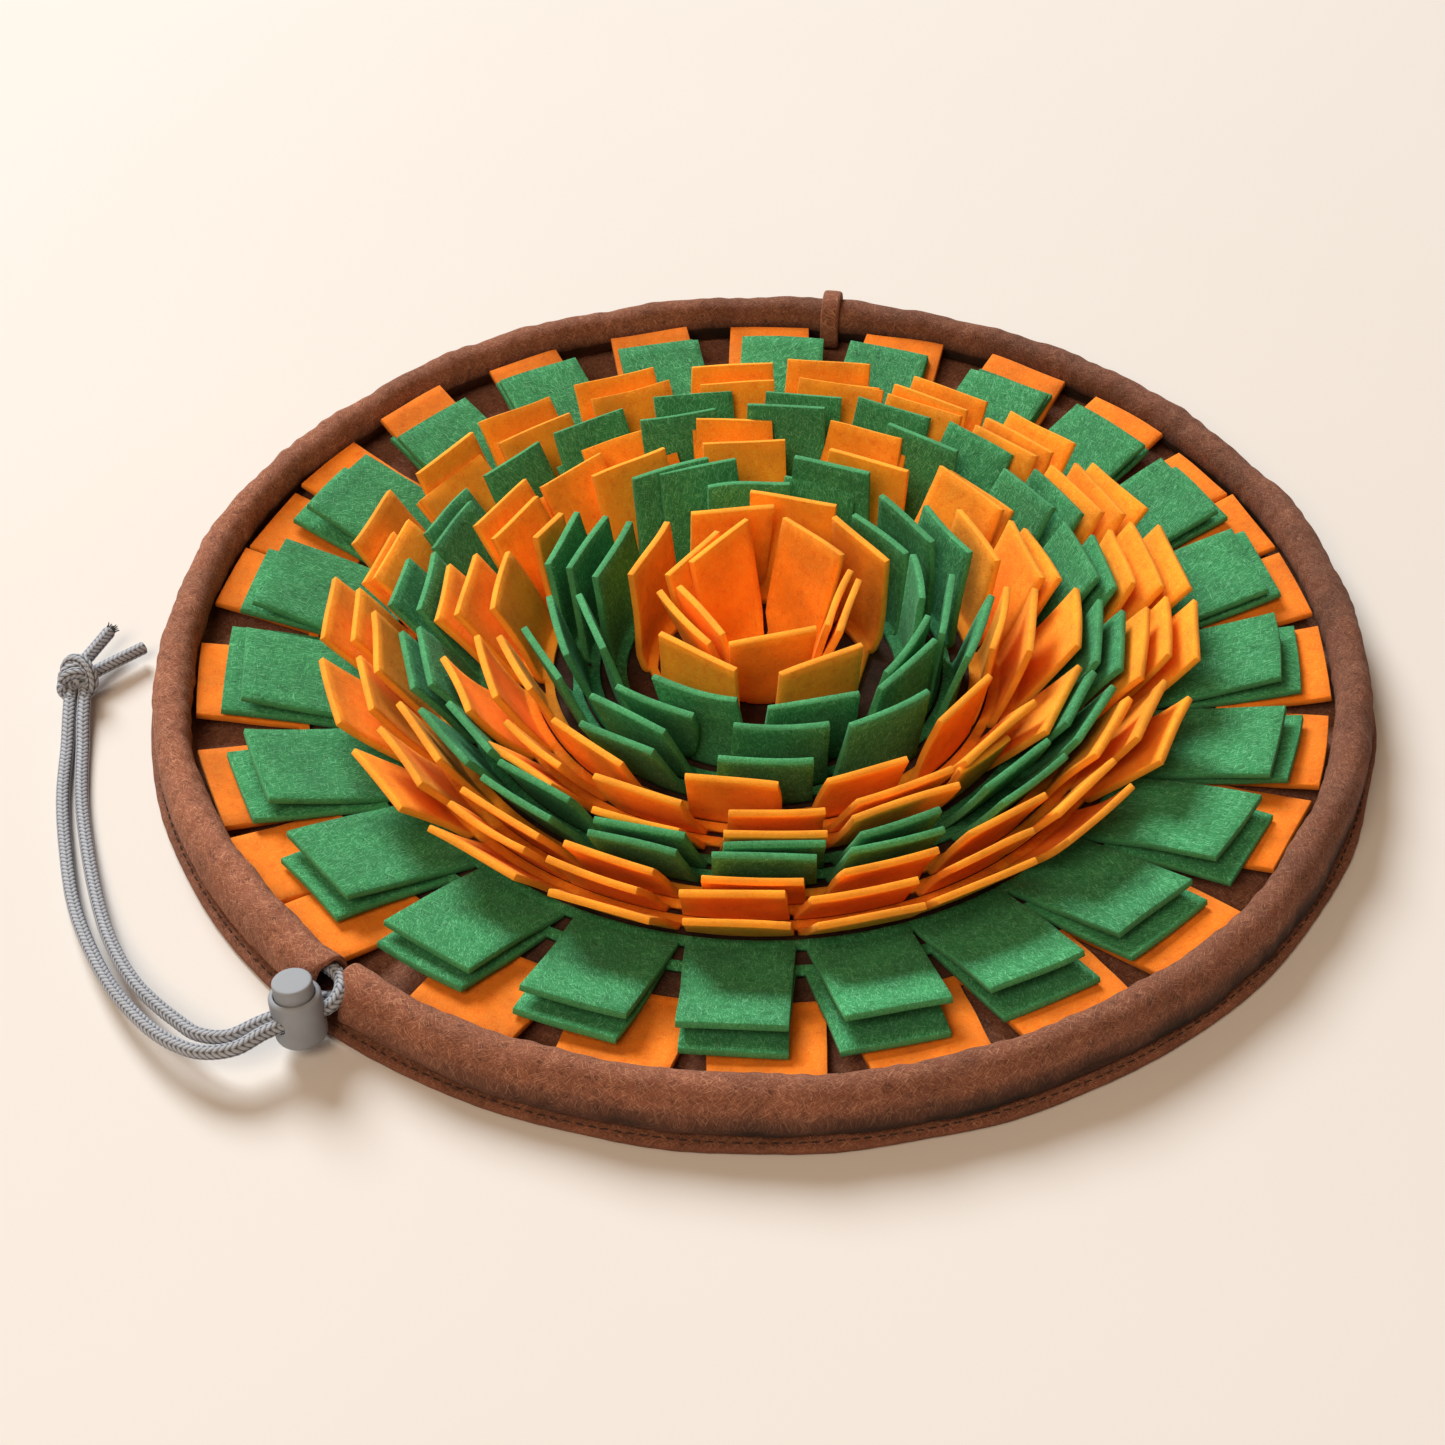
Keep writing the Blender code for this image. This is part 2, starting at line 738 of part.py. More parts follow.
def make_spring(parts, place, floor, sole, radius):
    """Compression spring between the bore's floor and the plunger's sole."""
    coil = radius - SPRING_INSET
    low = floor + GAP + SPRING_WIRE / 2
    high = sole - GAP - SPRING_WIRE / 2
    count = SPRING_TURNS * SPRING_TURN_POINTS
    points = []
    for index in range(count + 1):
        turn = 2 * math.pi * index / SPRING_TURN_POINTS
        height = low + (high - low) * index / count
        points.append(place @ Vector((coil * math.cos(turn), coil * math.sin(turn), height)))
    return tube("lock_spring", points, parts, material("spring_steel", STEEL, 0.3, 1.0), SPRING_WIRE / 2, 1)


def main():
    clear_scene()
    parts = new_collection("snuffle_bowl")
    cutters = new_collection("cutters")
    make_base(parts)
    make_casing(parts)
    make_strap(parts)
    for strip, root in zip(STRIPS, strip_layout()):
        make_strip(parts, strip, root)
    make_rim_cord(parts)
    cord = material("grey_cord", GREY, 0.8)
    tube("drawstring_inner_strand", strand_points(-1), parts, cord)
    tube("drawstring_outer_strand", strand_points(1), parts, cord)
    make_knot(parts, cutters)
    make_lock(parts, cutters)


main()
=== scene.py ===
"""Snuffle bowl laid open on a pale floor: felt flaps, felt rim, braided drawstring, cord lock and knot.

Lengths are in metres in the CAD frame unless a name or a comment says mm.
"""

import math

import bpy
import numpy as np
from mathutils import Matrix, Vector


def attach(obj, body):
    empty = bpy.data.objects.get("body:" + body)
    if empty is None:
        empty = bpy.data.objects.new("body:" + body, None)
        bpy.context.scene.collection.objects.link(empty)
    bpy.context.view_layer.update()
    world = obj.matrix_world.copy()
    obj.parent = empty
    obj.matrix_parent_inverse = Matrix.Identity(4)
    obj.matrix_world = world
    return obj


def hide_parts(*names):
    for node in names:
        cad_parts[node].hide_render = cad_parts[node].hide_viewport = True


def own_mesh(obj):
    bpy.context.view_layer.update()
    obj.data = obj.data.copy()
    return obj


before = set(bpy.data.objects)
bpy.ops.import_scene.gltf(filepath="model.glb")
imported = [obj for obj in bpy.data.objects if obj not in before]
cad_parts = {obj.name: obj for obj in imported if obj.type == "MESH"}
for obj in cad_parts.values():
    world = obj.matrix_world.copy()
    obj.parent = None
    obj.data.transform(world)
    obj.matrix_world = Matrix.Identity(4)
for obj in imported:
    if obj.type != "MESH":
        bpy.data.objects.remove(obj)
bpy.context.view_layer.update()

MM = 0.001
UP = Vector((0, 0, 1))

# Range of a wave's random phase, and distance under which two points of an outline are one
PHASES = (0, 6.28)
SAME_PLACE = 1e-6

# Seeds of the random draws; a strip's is this one plus its place in the list
CASING_SEED = 11
BASE_SEED = 5
STITCH_SEED = 23
YARN_SEED = 77
STRIP_SEED = 1000

# Base, casing and strap
BASE_RADIUS = 0.2305
FELT = 0.003
STRIP_FELT = 0.0026
GAP = 0.0003
SEAM_LIP = 0.0055
BASE_EDGE_FRONT = 0.2294
BASE_EDGE_BEHIND = 0.2278
CASING_WIDTH = 0.0135
CASING_HEIGHT = 0.020
CASING_FELT = 0.0025
CASING_SQUARENESS = 0.85
CASING_GAP = 0.0123
GAP_AZIMUTH = -128.8
CASING_FOOT_SQUARENESS = 0.42
CASING_SWELL = 0.0015
CASING_SWELL_BEHIND = 0.0004
CASING_INNER_FOOT = 1.7
RIGHT_END_REACH = 0.0046
LEFT_END_REACH = 0.0014
STITCH_PITCH = 0.0042
STITCH_LENGTH = 0.0031
THREAD = 0.00062
STITCH_SIDES = 6
STITCH_RINGS = 7
STRAP_WIDTH = 0.0078
STRAP_FELT = 0.0034
STRAP_SLACK = 0.0004
STRAP_AZIMUTH = 82.2
STRAP_CORNER = 0.0012
STRAP_STEP = 0.0008
CASING_CENTRE = BASE_RADIUS - SEAM_LIP - CASING_WIDTH / 2
CASING_MIDDLE = FELT + GAP + CASING_HEIGHT / 2
CASING_RINGS = 900
CASING_SIDES = 48
CASING_MOUTH_RINGS = (0.0, 0.08, 0.3, 0.65, 1.0)
CASING_END_REACH = 0.016
CASING_FLARE = 0.0005
CASING_FLARE_REACH = 0.010
CASING_CUT = 0.0012
# Painted shade on the inner wall of the casing's tube
CASING_INSIDE_SHADE = -0.35

# Unevenness of the casing: number of waves, least and most crests along it, most turns round it, size
CASING_WAVES = ((26, 5, 46, 2, 0.00012), (30, 80, 190, 4, 0.00003))

# Disc: it follows its cut edge beyond BASE_FIRM, over a width of BASE_FREE, and thins beyond BASE_WORN_FROM
BASE_SIDES = 720
BASE_RADII = (
    0.004, 0.03, 0.06, 0.09, 0.12, 0.145, 0.165, 0.18, 0.19, 0.2, 0.21, 0.218, 0.2225, 0.2255, 0.228, 0.2292,
    0.2299, 0.2303,
)
BASE_FIRM = 0.2
BASE_FREE = 0.0303
BASE_WORN_FROM = 0.2285
BASE_WORN_WIDTH = 0.0018

# Flap strips
SEAM_WIDTH = 0.004
STRIP_GAP = 0.0016
FLAP_SLIT = 0.0012
FLAP_TIP = 0.96
RIM_CLEARANCE = 0.0016
SEAM_ROWS = 3
FOLD_RADIUS = 0.0022
EDGE_INSET = 0.00026
EDGE_THINNING = 0.80
FLAP_WEAR = 0.00016
TIP_WAVE = 0.00025
TIP_SKEW = 0.0002

# How differently the fibres lie on each flap: shift in mm, turn in radians, shade
FIBRE_SPREAD = 400
FIBRE_TURN = 0.35
FLAP_SHADE = 0.045

# Strips that lean less than this, in degrees, lie flat and are painted a little darker, as painted shade
FLAT_LEAN = 14.0
FLAT_SHADE = 0.13

# name, colour, flaps, length, lean above the floor, azimuth of one flap
STRIPS = (
    ("ring_1_orange", "orange", 26, 0.037, 12.0, -90.6),
    ("ring_2_green_lower", "green", 23, 0.046, 15.0, -92.5),
    ("ring_2_green_upper", "green", 23, 0.046, 22.0, -92.5),
    ("ring_3_orange_outer", "orange", 21, 0.036, 53.0, -94.0),
    ("ring_3_orange_middle", "orange", 21, 0.036, 58.0, -94.0),
    ("ring_3_orange_inner", "orange", 21, 0.036, 61.0, -94.0),
    ("ring_4_green_outer", "green", 19, 0.036, 59.0, -90.0),
    ("ring_4_green_inner", "green", 19, 0.036, 61.0, -90.0),
    ("ring_5_orange_outer", "orange", 16, 0.036, 60.0, -87.0),
    ("ring_5_orange_middle", "orange", 16, 0.036, 62.0, -87.0),
    ("ring_5_orange_inner", "orange", 16, 0.036, 69.0, -87.0),
    ("ring_6_green_outer", "green", 12, 0.040, 68.0, -88.0),
    ("ring_6_green_middle", "green", 12, 0.040, 72.0, -88.0),
    ("ring_6_green_inner", "green", 11, 0.040, 77.0, -74.0),
    ("centre_orange_outer", "orange", 8, 0.047, 84.0, -67.5),
    ("centre_orange_inner", "orange", 6, 0.047, 88.0, -82.0),
)

# Flaps as the photo has them: from and to azimuth of each tip in degrees, and where they differ from the
# strip's usual flap, how much further out the tip is seen and how much longer the flap is, in mm.
FLAPS = {
    "ring_1_orange": (
        (-181, -170), (-164.6, -153.2), (-151.7, -141.5), (-141, -131.5), (-123.5, -112.8), (-108.7, -98.2),
        (-94.6, -84), (-79.8, -68.8), (-65.4, -54), (-50.6, -39.2), (-32.5, -22.1), (-19.8, -9.3), (-6.4, 4.3),
        (6.3, 16.3), (17.8, 27.2), (27.8, 36.2), (38.8, 48.6, 1), (52.9, 62.5, 2), (68.5, 77.7, 2.5),
        (84.6, 93.8, 2.5), (98.9, 108.1, 2.5), (114.8, 123.3, 2), (130, 138.8, 1.5), (142.7, 151.7, 0.5),
        (152.9, 162.9), (163.5, 172.5),
    ),
    "ring_2_green_lower": (
        (-183, -169.6), (-162.9, -152.1), (-145.8, -135.4), (-129.8, -119.4), (-114, -103.5), (-97.5, -87.3),
        (-82.5, -71.8), (-66.4, -55.8), (-51.7, -40.4), (-36.8, -25.8), (-21.1, -10.8), (-6.4, 4.2), (8.8, 20),
        (23.5, 34), (38, 48), (53, 62.8), (69.4, 78.6), (82.8, 92), (98.6, 107.8), (114.4, 123.8),
        (129.8, 139.6), (147, 157.8), (163.3, 173.8),
    ),
    "ring_2_green_upper": (
        (-180.9, -169.2), (-164, -152.3), (-147.1, -135.4), (-130.4, -119.4), (-114, -102.9), (-98.1, -87.1),
        (-81.8, -71), (-66.9, -56.1), (-51.7, -40.7), (-36.5, -25.7), (-22.3, -11.4), (-6.8, 4), (8.3, 19.6),
        (22.9, 34.3), (37.3, 48.5), (52.5, 63.2), (68.9, 79), (82.3, 92.5), (98.1, 108.3), (114, 124.2),
        (129.3, 140.2), (145.3, 157), (162.9, 174.6),
    ),
    "ring_3_orange_outer": (
        (-187.1, -174.2, 1), (-170.6, -157.5, 2), (-152, -139.6, 2), (-134.2, -120.4, 2), (-116.1, -102.9, 2),
        (-99.2, -86.3, 2), (-83.3, -69.8, 2), (-68.5, -54.6, 2), (-49, -36, 1), (-30, -17.1, 1), (-10.4, 2.1),
        (4.6, 18.6), (22.3, 35), (38.9, 51), (55, 67), (73.8, 86.3), (88.2, 101.2, -6), (106.5, 118.8),
        (122.9, 135), (137.8, 149.8, -2.5), (154.2, 167.1),
    ),
    "ring_3_orange_middle": (
        (-183.3, -172, 1), (-168.8, -156.8, 1), (-152.9, -140, 1), (-135.4, -121.7, 1), (-118.5, -105.4, 1),
        (-100.4, -86.7, 1), (-83.7, -69.3, 1), (-64, -51.7), (-47.5, -34.6), (-29, -16), (-10.8, 2.5),
        (4.2, 19.2), (21.3, 34.8), (39.2, 52.5, -2), (55.4, 68.5, -2), (71.4, 83, -3, -5), (89, 99.4, -5, -5),
        (105.8, 117.3, -3, -5), (123.3, 134.7, -2, -5), (139.5, 151.9, 0, -5), (160.2, 172.3, 0.5, -5),
    ),
    "ring_3_orange_inner": (
        (-178.3, -164.2, 1), (-156.4, -142.5, 1), (-136, -121.3, 1), (-117.9, -104.2, 1), (-98.1, -83.9, 1),
        (-78.8, -65, 1), (-60, -46.1), (-35, -21), (-16.3, -0.4), (4.6, 18.3), (22.5, 36.8), (39.6, 52.7),
        (55.6, 68.9), (70.4, 84, 1.7), (88, 100.4, -0.3), (104.8, 118.3, 1.7), (122.3, 135.7, 2.7),
        (138.5, 152.9, 5.7), (159.2, 173.3, 6.2),
    ),
    "ring_4_green_outer": (
        (-173.3, -159.6), (-153.9, -139.6), (-136.3, -122.1), (-116.1, -102.1), (-97.1, -81.7), (-76.7, -61.7),
        (-51.7, -37.3), (-33.8, -19.4), (-15.4, -1), (4.2, 18.3), (23.5, 37.5), (42.9, 56.5), (59.6, 73.3),
        (76, 89.4), (95.4, 109.2), (114.8, 128.1), (132.1, 144.8), (146.7, 160, 5), (167.3, 180, 3.5),
    ),
    "ring_4_green_inner": (
        (-174.2, -159.2), (-153.9, -139.4), (-137.1, -122), (-116.7, -101.7), (-95.8, -79.8), (-74.6, -60.4),
        (-51.7, -36.1), (-31.7, -17.5), (-14.6, 0.4), (6.3, 22.5), (26.3, 41), (49.2, 65, -6), (77.5, 93.1, -5),
        (99, 114.2, -4), (117, 130, -6, -10), (133.5, 145.5, -6, -10), (150.2, 164.6, 4), (166.3, 182, 1),
    ),
    "ring_5_orange_outer": (
        (-192.5, -176.5, 3), (-166.5, -150.7, 2.5), (-143.3, -127, 5), (-118.8, -103.3, 5.5),
        (-96.3, -78.8, 4.5), (-74.6, -54.3, 1.5), (-51, -37, -4, -8), (-34, -16.3, 3.5),
        (-12.5, 4.6, -1), (8.5, 26, -4.5, -5), (32, 49.5, -4, -5), (61, 76.5, -1), (88, 103.5, -1),
        (110.2, 126.3, 2), (129, 139, -4, -8), (140.8, 157.9, 2),
    ),
    "ring_5_orange_middle": (
        (-195.2, -176, 2.5), (-168.8, -151, -1.5), (-144.2, -129.2, 5), (-121.9, -104.2, 2), (-95.7, -78.2, 3),
        (-72.9, -52.7, 2), (-50.4, -28.8, 0.5), (-18.3, 3.3, -7), (7.5, 27, -1.5), (30.8, 50.2), (60, 77.1, 4),
        (87, 104.2, 3), (108, 121, -6, -9), (124.4, 140.4, 2), (144.6, 160.8, -1),
    ),
    "ring_5_orange_inner": (
        (-195.8, -176, 1), (-166.5, -147, -0.5), (-137.7, -118.3, 4), (-105.4, -86.2, 4), (-76.7, -58.3, 2),
        (-47.9, -27.9, -6.5), (-20, 3.3, -7.5), (11.2, 33.3, -6.5), (52.9, 73.8, -2), (84.6, 103.8, 1),
        (112.5, 131.7, 1.5), (148, 160.5, -5.6),
    ),
    "ring_6_green_outer": (
        (-165.4, -145, -1), (-132.7, -113.3, 5.5), (-99.6, -78.2, 3), (-68.3, -43.7, -9.5), (-29, -2, -8),
        (13.3, 38.3, -10), (58.3, 81.2, -8.5), (104.6, 127.1, -4.5), (147.9, 171.7, -6.8),
    ),
    "ring_6_green_middle": (
        (-176, -150.5, -1.5), (-137, -113.3, 2.5), (-97.1, -71.9, -1), (-55, -27, -10), (-23.5, 4, -9),
        (20.4, 49.2, -10.5), (62, 84, -9, -8), (97, 120, 0.5), (145.4, 174.2, -8),
    ),
    "ring_6_green_inner": (
        (-176.7, -149, 1.5), (-135.2, -108.9, 7.8), (-127.5, -97, -3), (-88.4, -58.1), (-47.5, -15.5, -3),
        (-10, 18, -10), (22, 54.6, -12), (79.6, 109.6, -2.5), (142, 176.8, -5),
    ),
}

# Flaps of the centre: heading in degrees, how far out and aside its tip is and how wide, in mm, and the
# azimuth of its root
CENTRE_TIP_HEIGHT = 0.047
CENTRE_FLAPS = {
    "centre_orange_outer": (
        (-125.3, 43.8, 4.8, 33.1, -122), (-62.1, 47.7, -2.1, 33.2, -63),
        (38.8, 41.9, -4.0, 31.5, 35), (73.4, 48.8, 2.4, 33.7, 77), (104.1, 38.9, 1.0, 31.7, 107),
        (157.8, 42.8, 0.3, 34.4, 158),
    ),
    "centre_orange_inner": (
        (-143.5, 33.0, -0.2, 34.0, -161), (-149.9, 26.1, 4.1, 31.0, -133), (-78.2, 30.5, -2.3, 32.5, -79),
        (-14.9, 32.9, -5.1, 33.0, -38), (-12.7, 28.2, -4.1, 33.0, 0), (42.4, 31.6, 4.7, 32.2, 46),
        (139.4, 25.3, -6.4, 32.6, 124), (147.8, 28.6, 0.6, 33.0, 164),
    ),
}

# Where all tips of a strip lie a little off the CAD's: longer by metres, flatter by degrees
TIP_SHIFTS = {"ring_2_green_lower": (-0.0025, 2.0), "ring_2_green_upper": (0.0040, 3.5)}

# Where a strip's flaps are rooted further out than in the CAD
ROOT_SHIFTS = {"centre_orange_inner": -0.0110}

# How uneven the flaps of a strip are, for strips that lean less than a limit in degrees
FLAT_STYLE = dict(
    lean=0.35, length=0.0004, bow=0.0004, sag=0.0, curl=0.0004, droop=-0.0006, cup=0.0003, twist=0.7,
    ripple=0.00010, straight=0.6, flat=1.0,
)
BROAD_STYLE = dict(
    lean=0.4, length=0.0006, bow=0.0004, sag=0.0, curl=0.0005, droop=-0.0002, cup=0.0003, twist=0.7,
    ripple=0.00012, straight=0.7, flat=1.0,
)
STEEP_STYLE = dict(
    lean=0.8, length=0.0007, bow=0.0006, sag=0.0, curl=0.0007, droop=0.0, cup=0.0004, twist=1.6,
    ripple=0.00014, straight=0.9, flat=0.6,
)
CENTRE_STYLE = dict(STEEP_STYLE, lean=1.0, twist=2.2, bow=0.0005, curl=0.0005, straight=1.0, flat=0.30)
STYLES = ((FLAT_LEAN, FLAT_STYLE), (40.0, BROAD_STYLE), (80.0, STEEP_STYLE), (90.0, CENTRE_STYLE))

# Drawstring
CORD = 0.0048
CORD_STEP = 0.011
BEND_STEP = 0.6
STRAIGHTS = (0.4, 0.8)
MOUTH_DEPTH = 0.0042
MOUTH_RISE = 9.0
OVER_LIFT = 0.0042
UNDER_DROP = 0.0010
EXIT_BEND = 0.0092
EXIT_STEPS = 6
CROSSING_OUT = 0.0032
BRAID_COLUMNS = 6
BRAID_STITCH = 0.00200
BRAID_STEP = BRAID_STITCH / 5
BRAID_RELIEF = 0.00038
BRAID_LEVEL = 0.62
CORD_SIDES = 40
CORD_PATH_STEP = 0.002
HIDDEN_CORD_STEP = 0.004
HIDDEN_CORD_SIDES = 16

# Cord lock
LOCK_OUT = 0.0195
LOCK_ASIDE = -0.0020
LOCK_HEIGHT = 0.0154
LOCK_AZIMUTH = -150.0
LOCK_TILT = 7.0
LOCK_TRAVEL = 0.008
STRAND_PITCH = 0.0052
STRAND_CLEARANCE = 0.0004
BARREL_RADIUS = 0.00875
BARREL_WALL = 0.00175
BARREL_FLOOR = 0.0013
BARREL_RISE = 0.009
BARREL_FILLET = 0.0016
BARREL_FOOT_FILLET = 0.0030
BORE_CORNER = 0.0004
BORE_EDGE = 0.0003
PLUNGER_CLEARANCE = 0.0003
PLUNGER_PROUD = 0.0053
PLUNGER_SOLE = 0.0012
PLUNGER_FILLET = 0.0008
PLUNGER_TRAVEL = 0.003
SPRING_SOLID = 0.0018
SPRING_WIRE = 0.0005
SPRING_INSET = 0.0014
SPRING_TURNS = 3
HOLE_OVERSHOOT = 0.004
EDGE_BEVEL = 0.00022
BEVEL_ANGLE = 50
SHARP_ANGLE = 38

# Free strands along the floor, and the knot
INNER_ROUTE = (
    (-0.1715, -0.1934, 0.0147), (-0.1771, -0.1935, 0.0140), (-0.1823, -0.1914, 0.0131),
    (-0.1890, -0.1858, 0.0120), (-0.1962, -0.1790, 0.0107), (-0.2092, -0.1637, 0.0085),
    (-0.2209, -0.1430, 0.0062), (-0.2298, -0.1205, 0.0044), (-0.2380, -0.0946, 0.0031),
    (-0.2445, -0.0693, 0.0026), (-0.2488, -0.0430, 0.0031), (-0.2503, -0.0330, 0.0047),
    (-0.2511, -0.0260, 0.0059),
)
OUTER_ROUTE = (
    (-0.1690, -0.1987, 0.0148), (-0.1757, -0.1998, 0.0140), (-0.1832, -0.1983, 0.0130),
    (-0.1914, -0.1934, 0.0116), (-0.2010, -0.1849, 0.0100), (-0.2148, -0.1680, 0.0078),
    (-0.2273, -0.1462, 0.0056), (-0.2374, -0.1230, 0.0038), (-0.2456, -0.0945, 0.0028),
    (-0.2512, -0.0693, 0.0026), (-0.2544, -0.0430, 0.0031), (-0.2556, -0.0330, 0.0047),
    (-0.2562, -0.0260, 0.0059),
)
KNOT_CENTRE = (-0.2555, -0.0118, 0.0076)
KNOT_HEADING = 97.0
KNOT_LENGTH = 0.0135
KNOT_CORE = 0.0040
KNOT_WRAP = 0.00225
KNOT_LOOP = 0.0024
KNOT_STUB = 0.0036
KNOT_ENTRY_HEIGHT = 0.0062
END_LENGTHS = (0.0215, 0.0208)
END_HEADINGS = (65.0, 45.0)
END_RISES = (0.0022, -0.0016)
END_ROOT = 0.0032
END_SINK = 0.0052
LOOSE_YARNS = 22
LOOSE_YARN = 0.00026

# Camera: lengths of the lens in mm, angles in radians
SENSOR_WIDTH = 36.0
FOCAL = 69.757785
DISTANCE = 1.058176577
ELEVATION = 0.7249127205
YAW = 0.0137024532
PITCH = 0.0163505831
ROLL = 0.0046822363

# Lights: name, azimuth and elevation in degrees, distance, size, watts, colour
LIGHTS = (
    ("key", 120, 39, 8.5, 4.2, 930, (0.95, 0.985, 0.985)),
    ("fill", -116, 50, 5.0, 2.8, 128, (1.0, 0.78, 0.57)),
)
ROOM_COLOUR = (1.0, 0.63, 0.40, 1)
ROOM_STRENGTH = 0.21
FLOOR_SIZE = 6.0

# Felts: colours of the ground, its hollows, the fibres on it and its cut edge; how much the fibres cover, how
# long and how wide they are in mm, the noise levels between which they show, and their directions in degrees
FELTS = {
    "green": dict(
        base=(0.024, 0.225, 0.076), deep=(0.010, 0.130, 0.042), fleck=(0.15, 0.54, 0.27),
        edge=(0.075, 0.37, 0.150), cover=0.80, long=4.0, across=0.38, sheen=0.07, relief=0.00036,
        limits=(0.59, 0.71), turns=(3, -14, 22, 80),
    ),
    "orange": dict(
        base=(1.0, 0.232, 0.005), deep=(0.86, 0.165, 0.003), fleck=(1.0, 0.42, 0.050),
        edge=(1.0, 0.305, 0.020), cover=0.60, long=3.4, across=0.38, sheen=0.08, relief=0.00034,
        limits=(0.60, 0.74), turns=(-6, 18, 70, 110),
    ),
    "brown": dict(
        base=(0.205, 0.070, 0.037), deep=(0.095, 0.029, 0.014), fleck=(0.50, 0.250, 0.150),
        edge=(0.22, 0.080, 0.043), cover=0.66, long=4.0, across=0.34, sheen=0.12, relief=0.00050,
        limits=(0.58, 0.70), turns=(28, 48, 112, 150),
    ),
}
FIBRE_SHIFTS = (3.1, 17.3, 41.9, 29.4)
# Painted light: the orange strips that stand up are painted lighter and more golden by this tint
PAINTED_LIGHT_TINT = (1.0, 1.38, 1.5)


def polar(radius, azimuth, height=0.0):
    turn = math.radians(azimuth)
    return Vector((radius * math.cos(turn), radius * math.sin(turn), height))


def smoothstep(share):
    share = min(1.0, max(0.0, share))
    return share * share * (3 - 2 * share)


def link(name, data):
    """An object with this data, put into the scene."""
    thing = bpy.data.objects.new(name, data)
    bpy.context.scene.collection.objects.link(thing)
    return thing


# Camera and light

def make_camera():
    place = np.array([0, -DISTANCE * math.cos(ELEVATION), DISTANCE * math.sin(ELEVATION)])
    forward = -place / np.linalg.norm(place)
    right = np.array([1.0, 0, 0])
    rows = np.array([right, -np.cross(right, forward), forward])
    cy, sy = math.cos(YAW), math.sin(YAW)
    cp, sp = math.cos(PITCH), math.sin(PITCH)
    cr, sr = math.cos(ROLL), math.sin(ROLL)
    yaw = np.array([[cy, 0, sy], [0, 1, 0], [-sy, 0, cy]])
    pitch = np.array([[1, 0, 0], [0, cp, -sp], [0, sp, cp]])
    roll = np.array([[cr, -sr, 0], [sr, cr, 0], [0, 0, 1]])
    rows = roll @ pitch @ yaw @ rows
    lens = bpy.data.cameras.new("camera")
    lens.sensor_width = SENSOR_WIDTH
    lens.lens = FOCAL
    camera = link("camera", lens)
    axes = np.array([rows[0], -rows[1], -rows[2]]).T
    turn = Matrix([list(row) for row in axes]).to_4x4()
    camera.matrix_world = Matrix.Translation(Vector(place)) @ turn
    bpy.context.scene.camera = camera


def area_light(name, azimuth, elevation, distance, size, watts, colour):
    lamp = bpy.data.lights.new(name, "AREA")
    lamp.shape = "DISK"
    lamp.size = size
    lamp.energy = watts
    lamp.color = colour
    light = link(name, lamp)
    level = distance * math.cos(math.radians(elevation))
    light.location = polar(level, azimuth, distance * math.sin(math.radians(elevation)))
    light.rotation_euler = (-light.location).to_track_quat("-Z", "Y").to_euler()


# Materials

class Graph:
    """A Principled material with short calls for the nodes that the finishes share."""

    def __init__(self, name, roughness, sheen=0.0, sheen_roughness=0.5, sheen_tint=(1, 1, 1), metallic=0.0):
        self.material = bpy.data.materials.new(name)
        self.material.use_nodes = True
        self.tree = self.material.node_tree
        self.shader = self.tree.nodes["Principled BSDF"]
        self.fill(self.shader, {
            "Roughness": roughness, "Metallic": metallic, "Sheen Weight": sheen,
            "Sheen Roughness": sheen_roughness, "Sheen Tint": sheen_tint,
        })

    def put(self, socket, value):
        if isinstance(value, bpy.types.NodeSocket):
            self.tree.links.new(value, socket)
        elif hasattr(value, "__len__") and len(value) == 3 and socket.type == "RGBA":
            socket.default_value = (*value, 1)
        else:
            socket.default_value = value

    def fill(self, node, values):
        """Sets or links inputs of a node, by their names or numbers."""
        for key, value in values.items():
            self.put(node.inputs[key], value)

    def node(self, kind, values, **settings):
        node = self.tree.nodes.new("ShaderNode" + kind)
        for setting, value in settings.items():
            setattr(node, setting, value)
        self.fill(node, values)
        return node

    def uv(self, name="fibre"):
        return self.node("UVMap", {}, uv_map=name).outputs["UV"]

    def position(self):
        return self.node("TexCoord", {}).outputs["Object"]

    def attribute(self, name):
        return self.node("Attribute", {}, attribute_name=name).outputs["Fac"]

    def mapping(self, vector, scale, turn=0.0, shift=(0, 0, 0)):
        values = {"Vector": vector, "Location": shift, "Rotation": (0, 0, math.radians(turn)), "Scale": scale}
        return self.node("Mapping", values, vector_type="TEXTURE").outputs["Vector"]

    def noise(self, vector, scale, detail=2.0, roughness=0.5, output="Fac"):
        values = {"Vector": vector, "Scale": scale, "Detail": detail, "Roughness": roughness}
        return self.node("TexNoise", values).outputs[output]

    def math(self, operation, a, b):
        return self.node("Math", {0: a, 1: b}, operation=operation).outputs[0]

    def warp(self, vector, scale, amount):
        """The vector moved about by a broad noise, so that fibres bend."""
        drift = self.noise(vector, scale, 1.0, output="Color")
        centred = self.node("VectorMath", {0: drift, 1: (0.5, 0.5, 0.5)}, operation="SUBTRACT")
        sized = self.node("VectorMath", {0: centred.outputs[0], "Scale": amount}, operation="SCALE")
        return self.node("VectorMath", {0: vector, 1: sized.outputs[0]}, operation="ADD").outputs[0]

    def ramp(self, value, low, high, bottom=0.0, top=1.0):
        values = {"Value": value, "From Min": low, "From Max": high, "To Min": bottom, "To Max": top}
        return self.node("MapRange", values, interpolation_type="SMOOTHSTEP").outputs["Result"]

    def mix(self, share, a, b, kind="MIX"):
        return self.node("Mix", {"Factor": share, 6: a, 7: b}, data_type="RGBA", blend_type=kind).outputs[2]

    def bump(self, height, strength, distance, normal=None):
        node = self.node("Bump", {"Strength": strength, "Distance": distance, "Height": height})
        if normal is not None:
            self.put(node.inputs["Normal"], normal)
        return node.outputs["Normal"]

    def finish(self, values):
        """The material, once these inputs of its shader are set."""
        self.fill(self.shader, values)
        return self.material


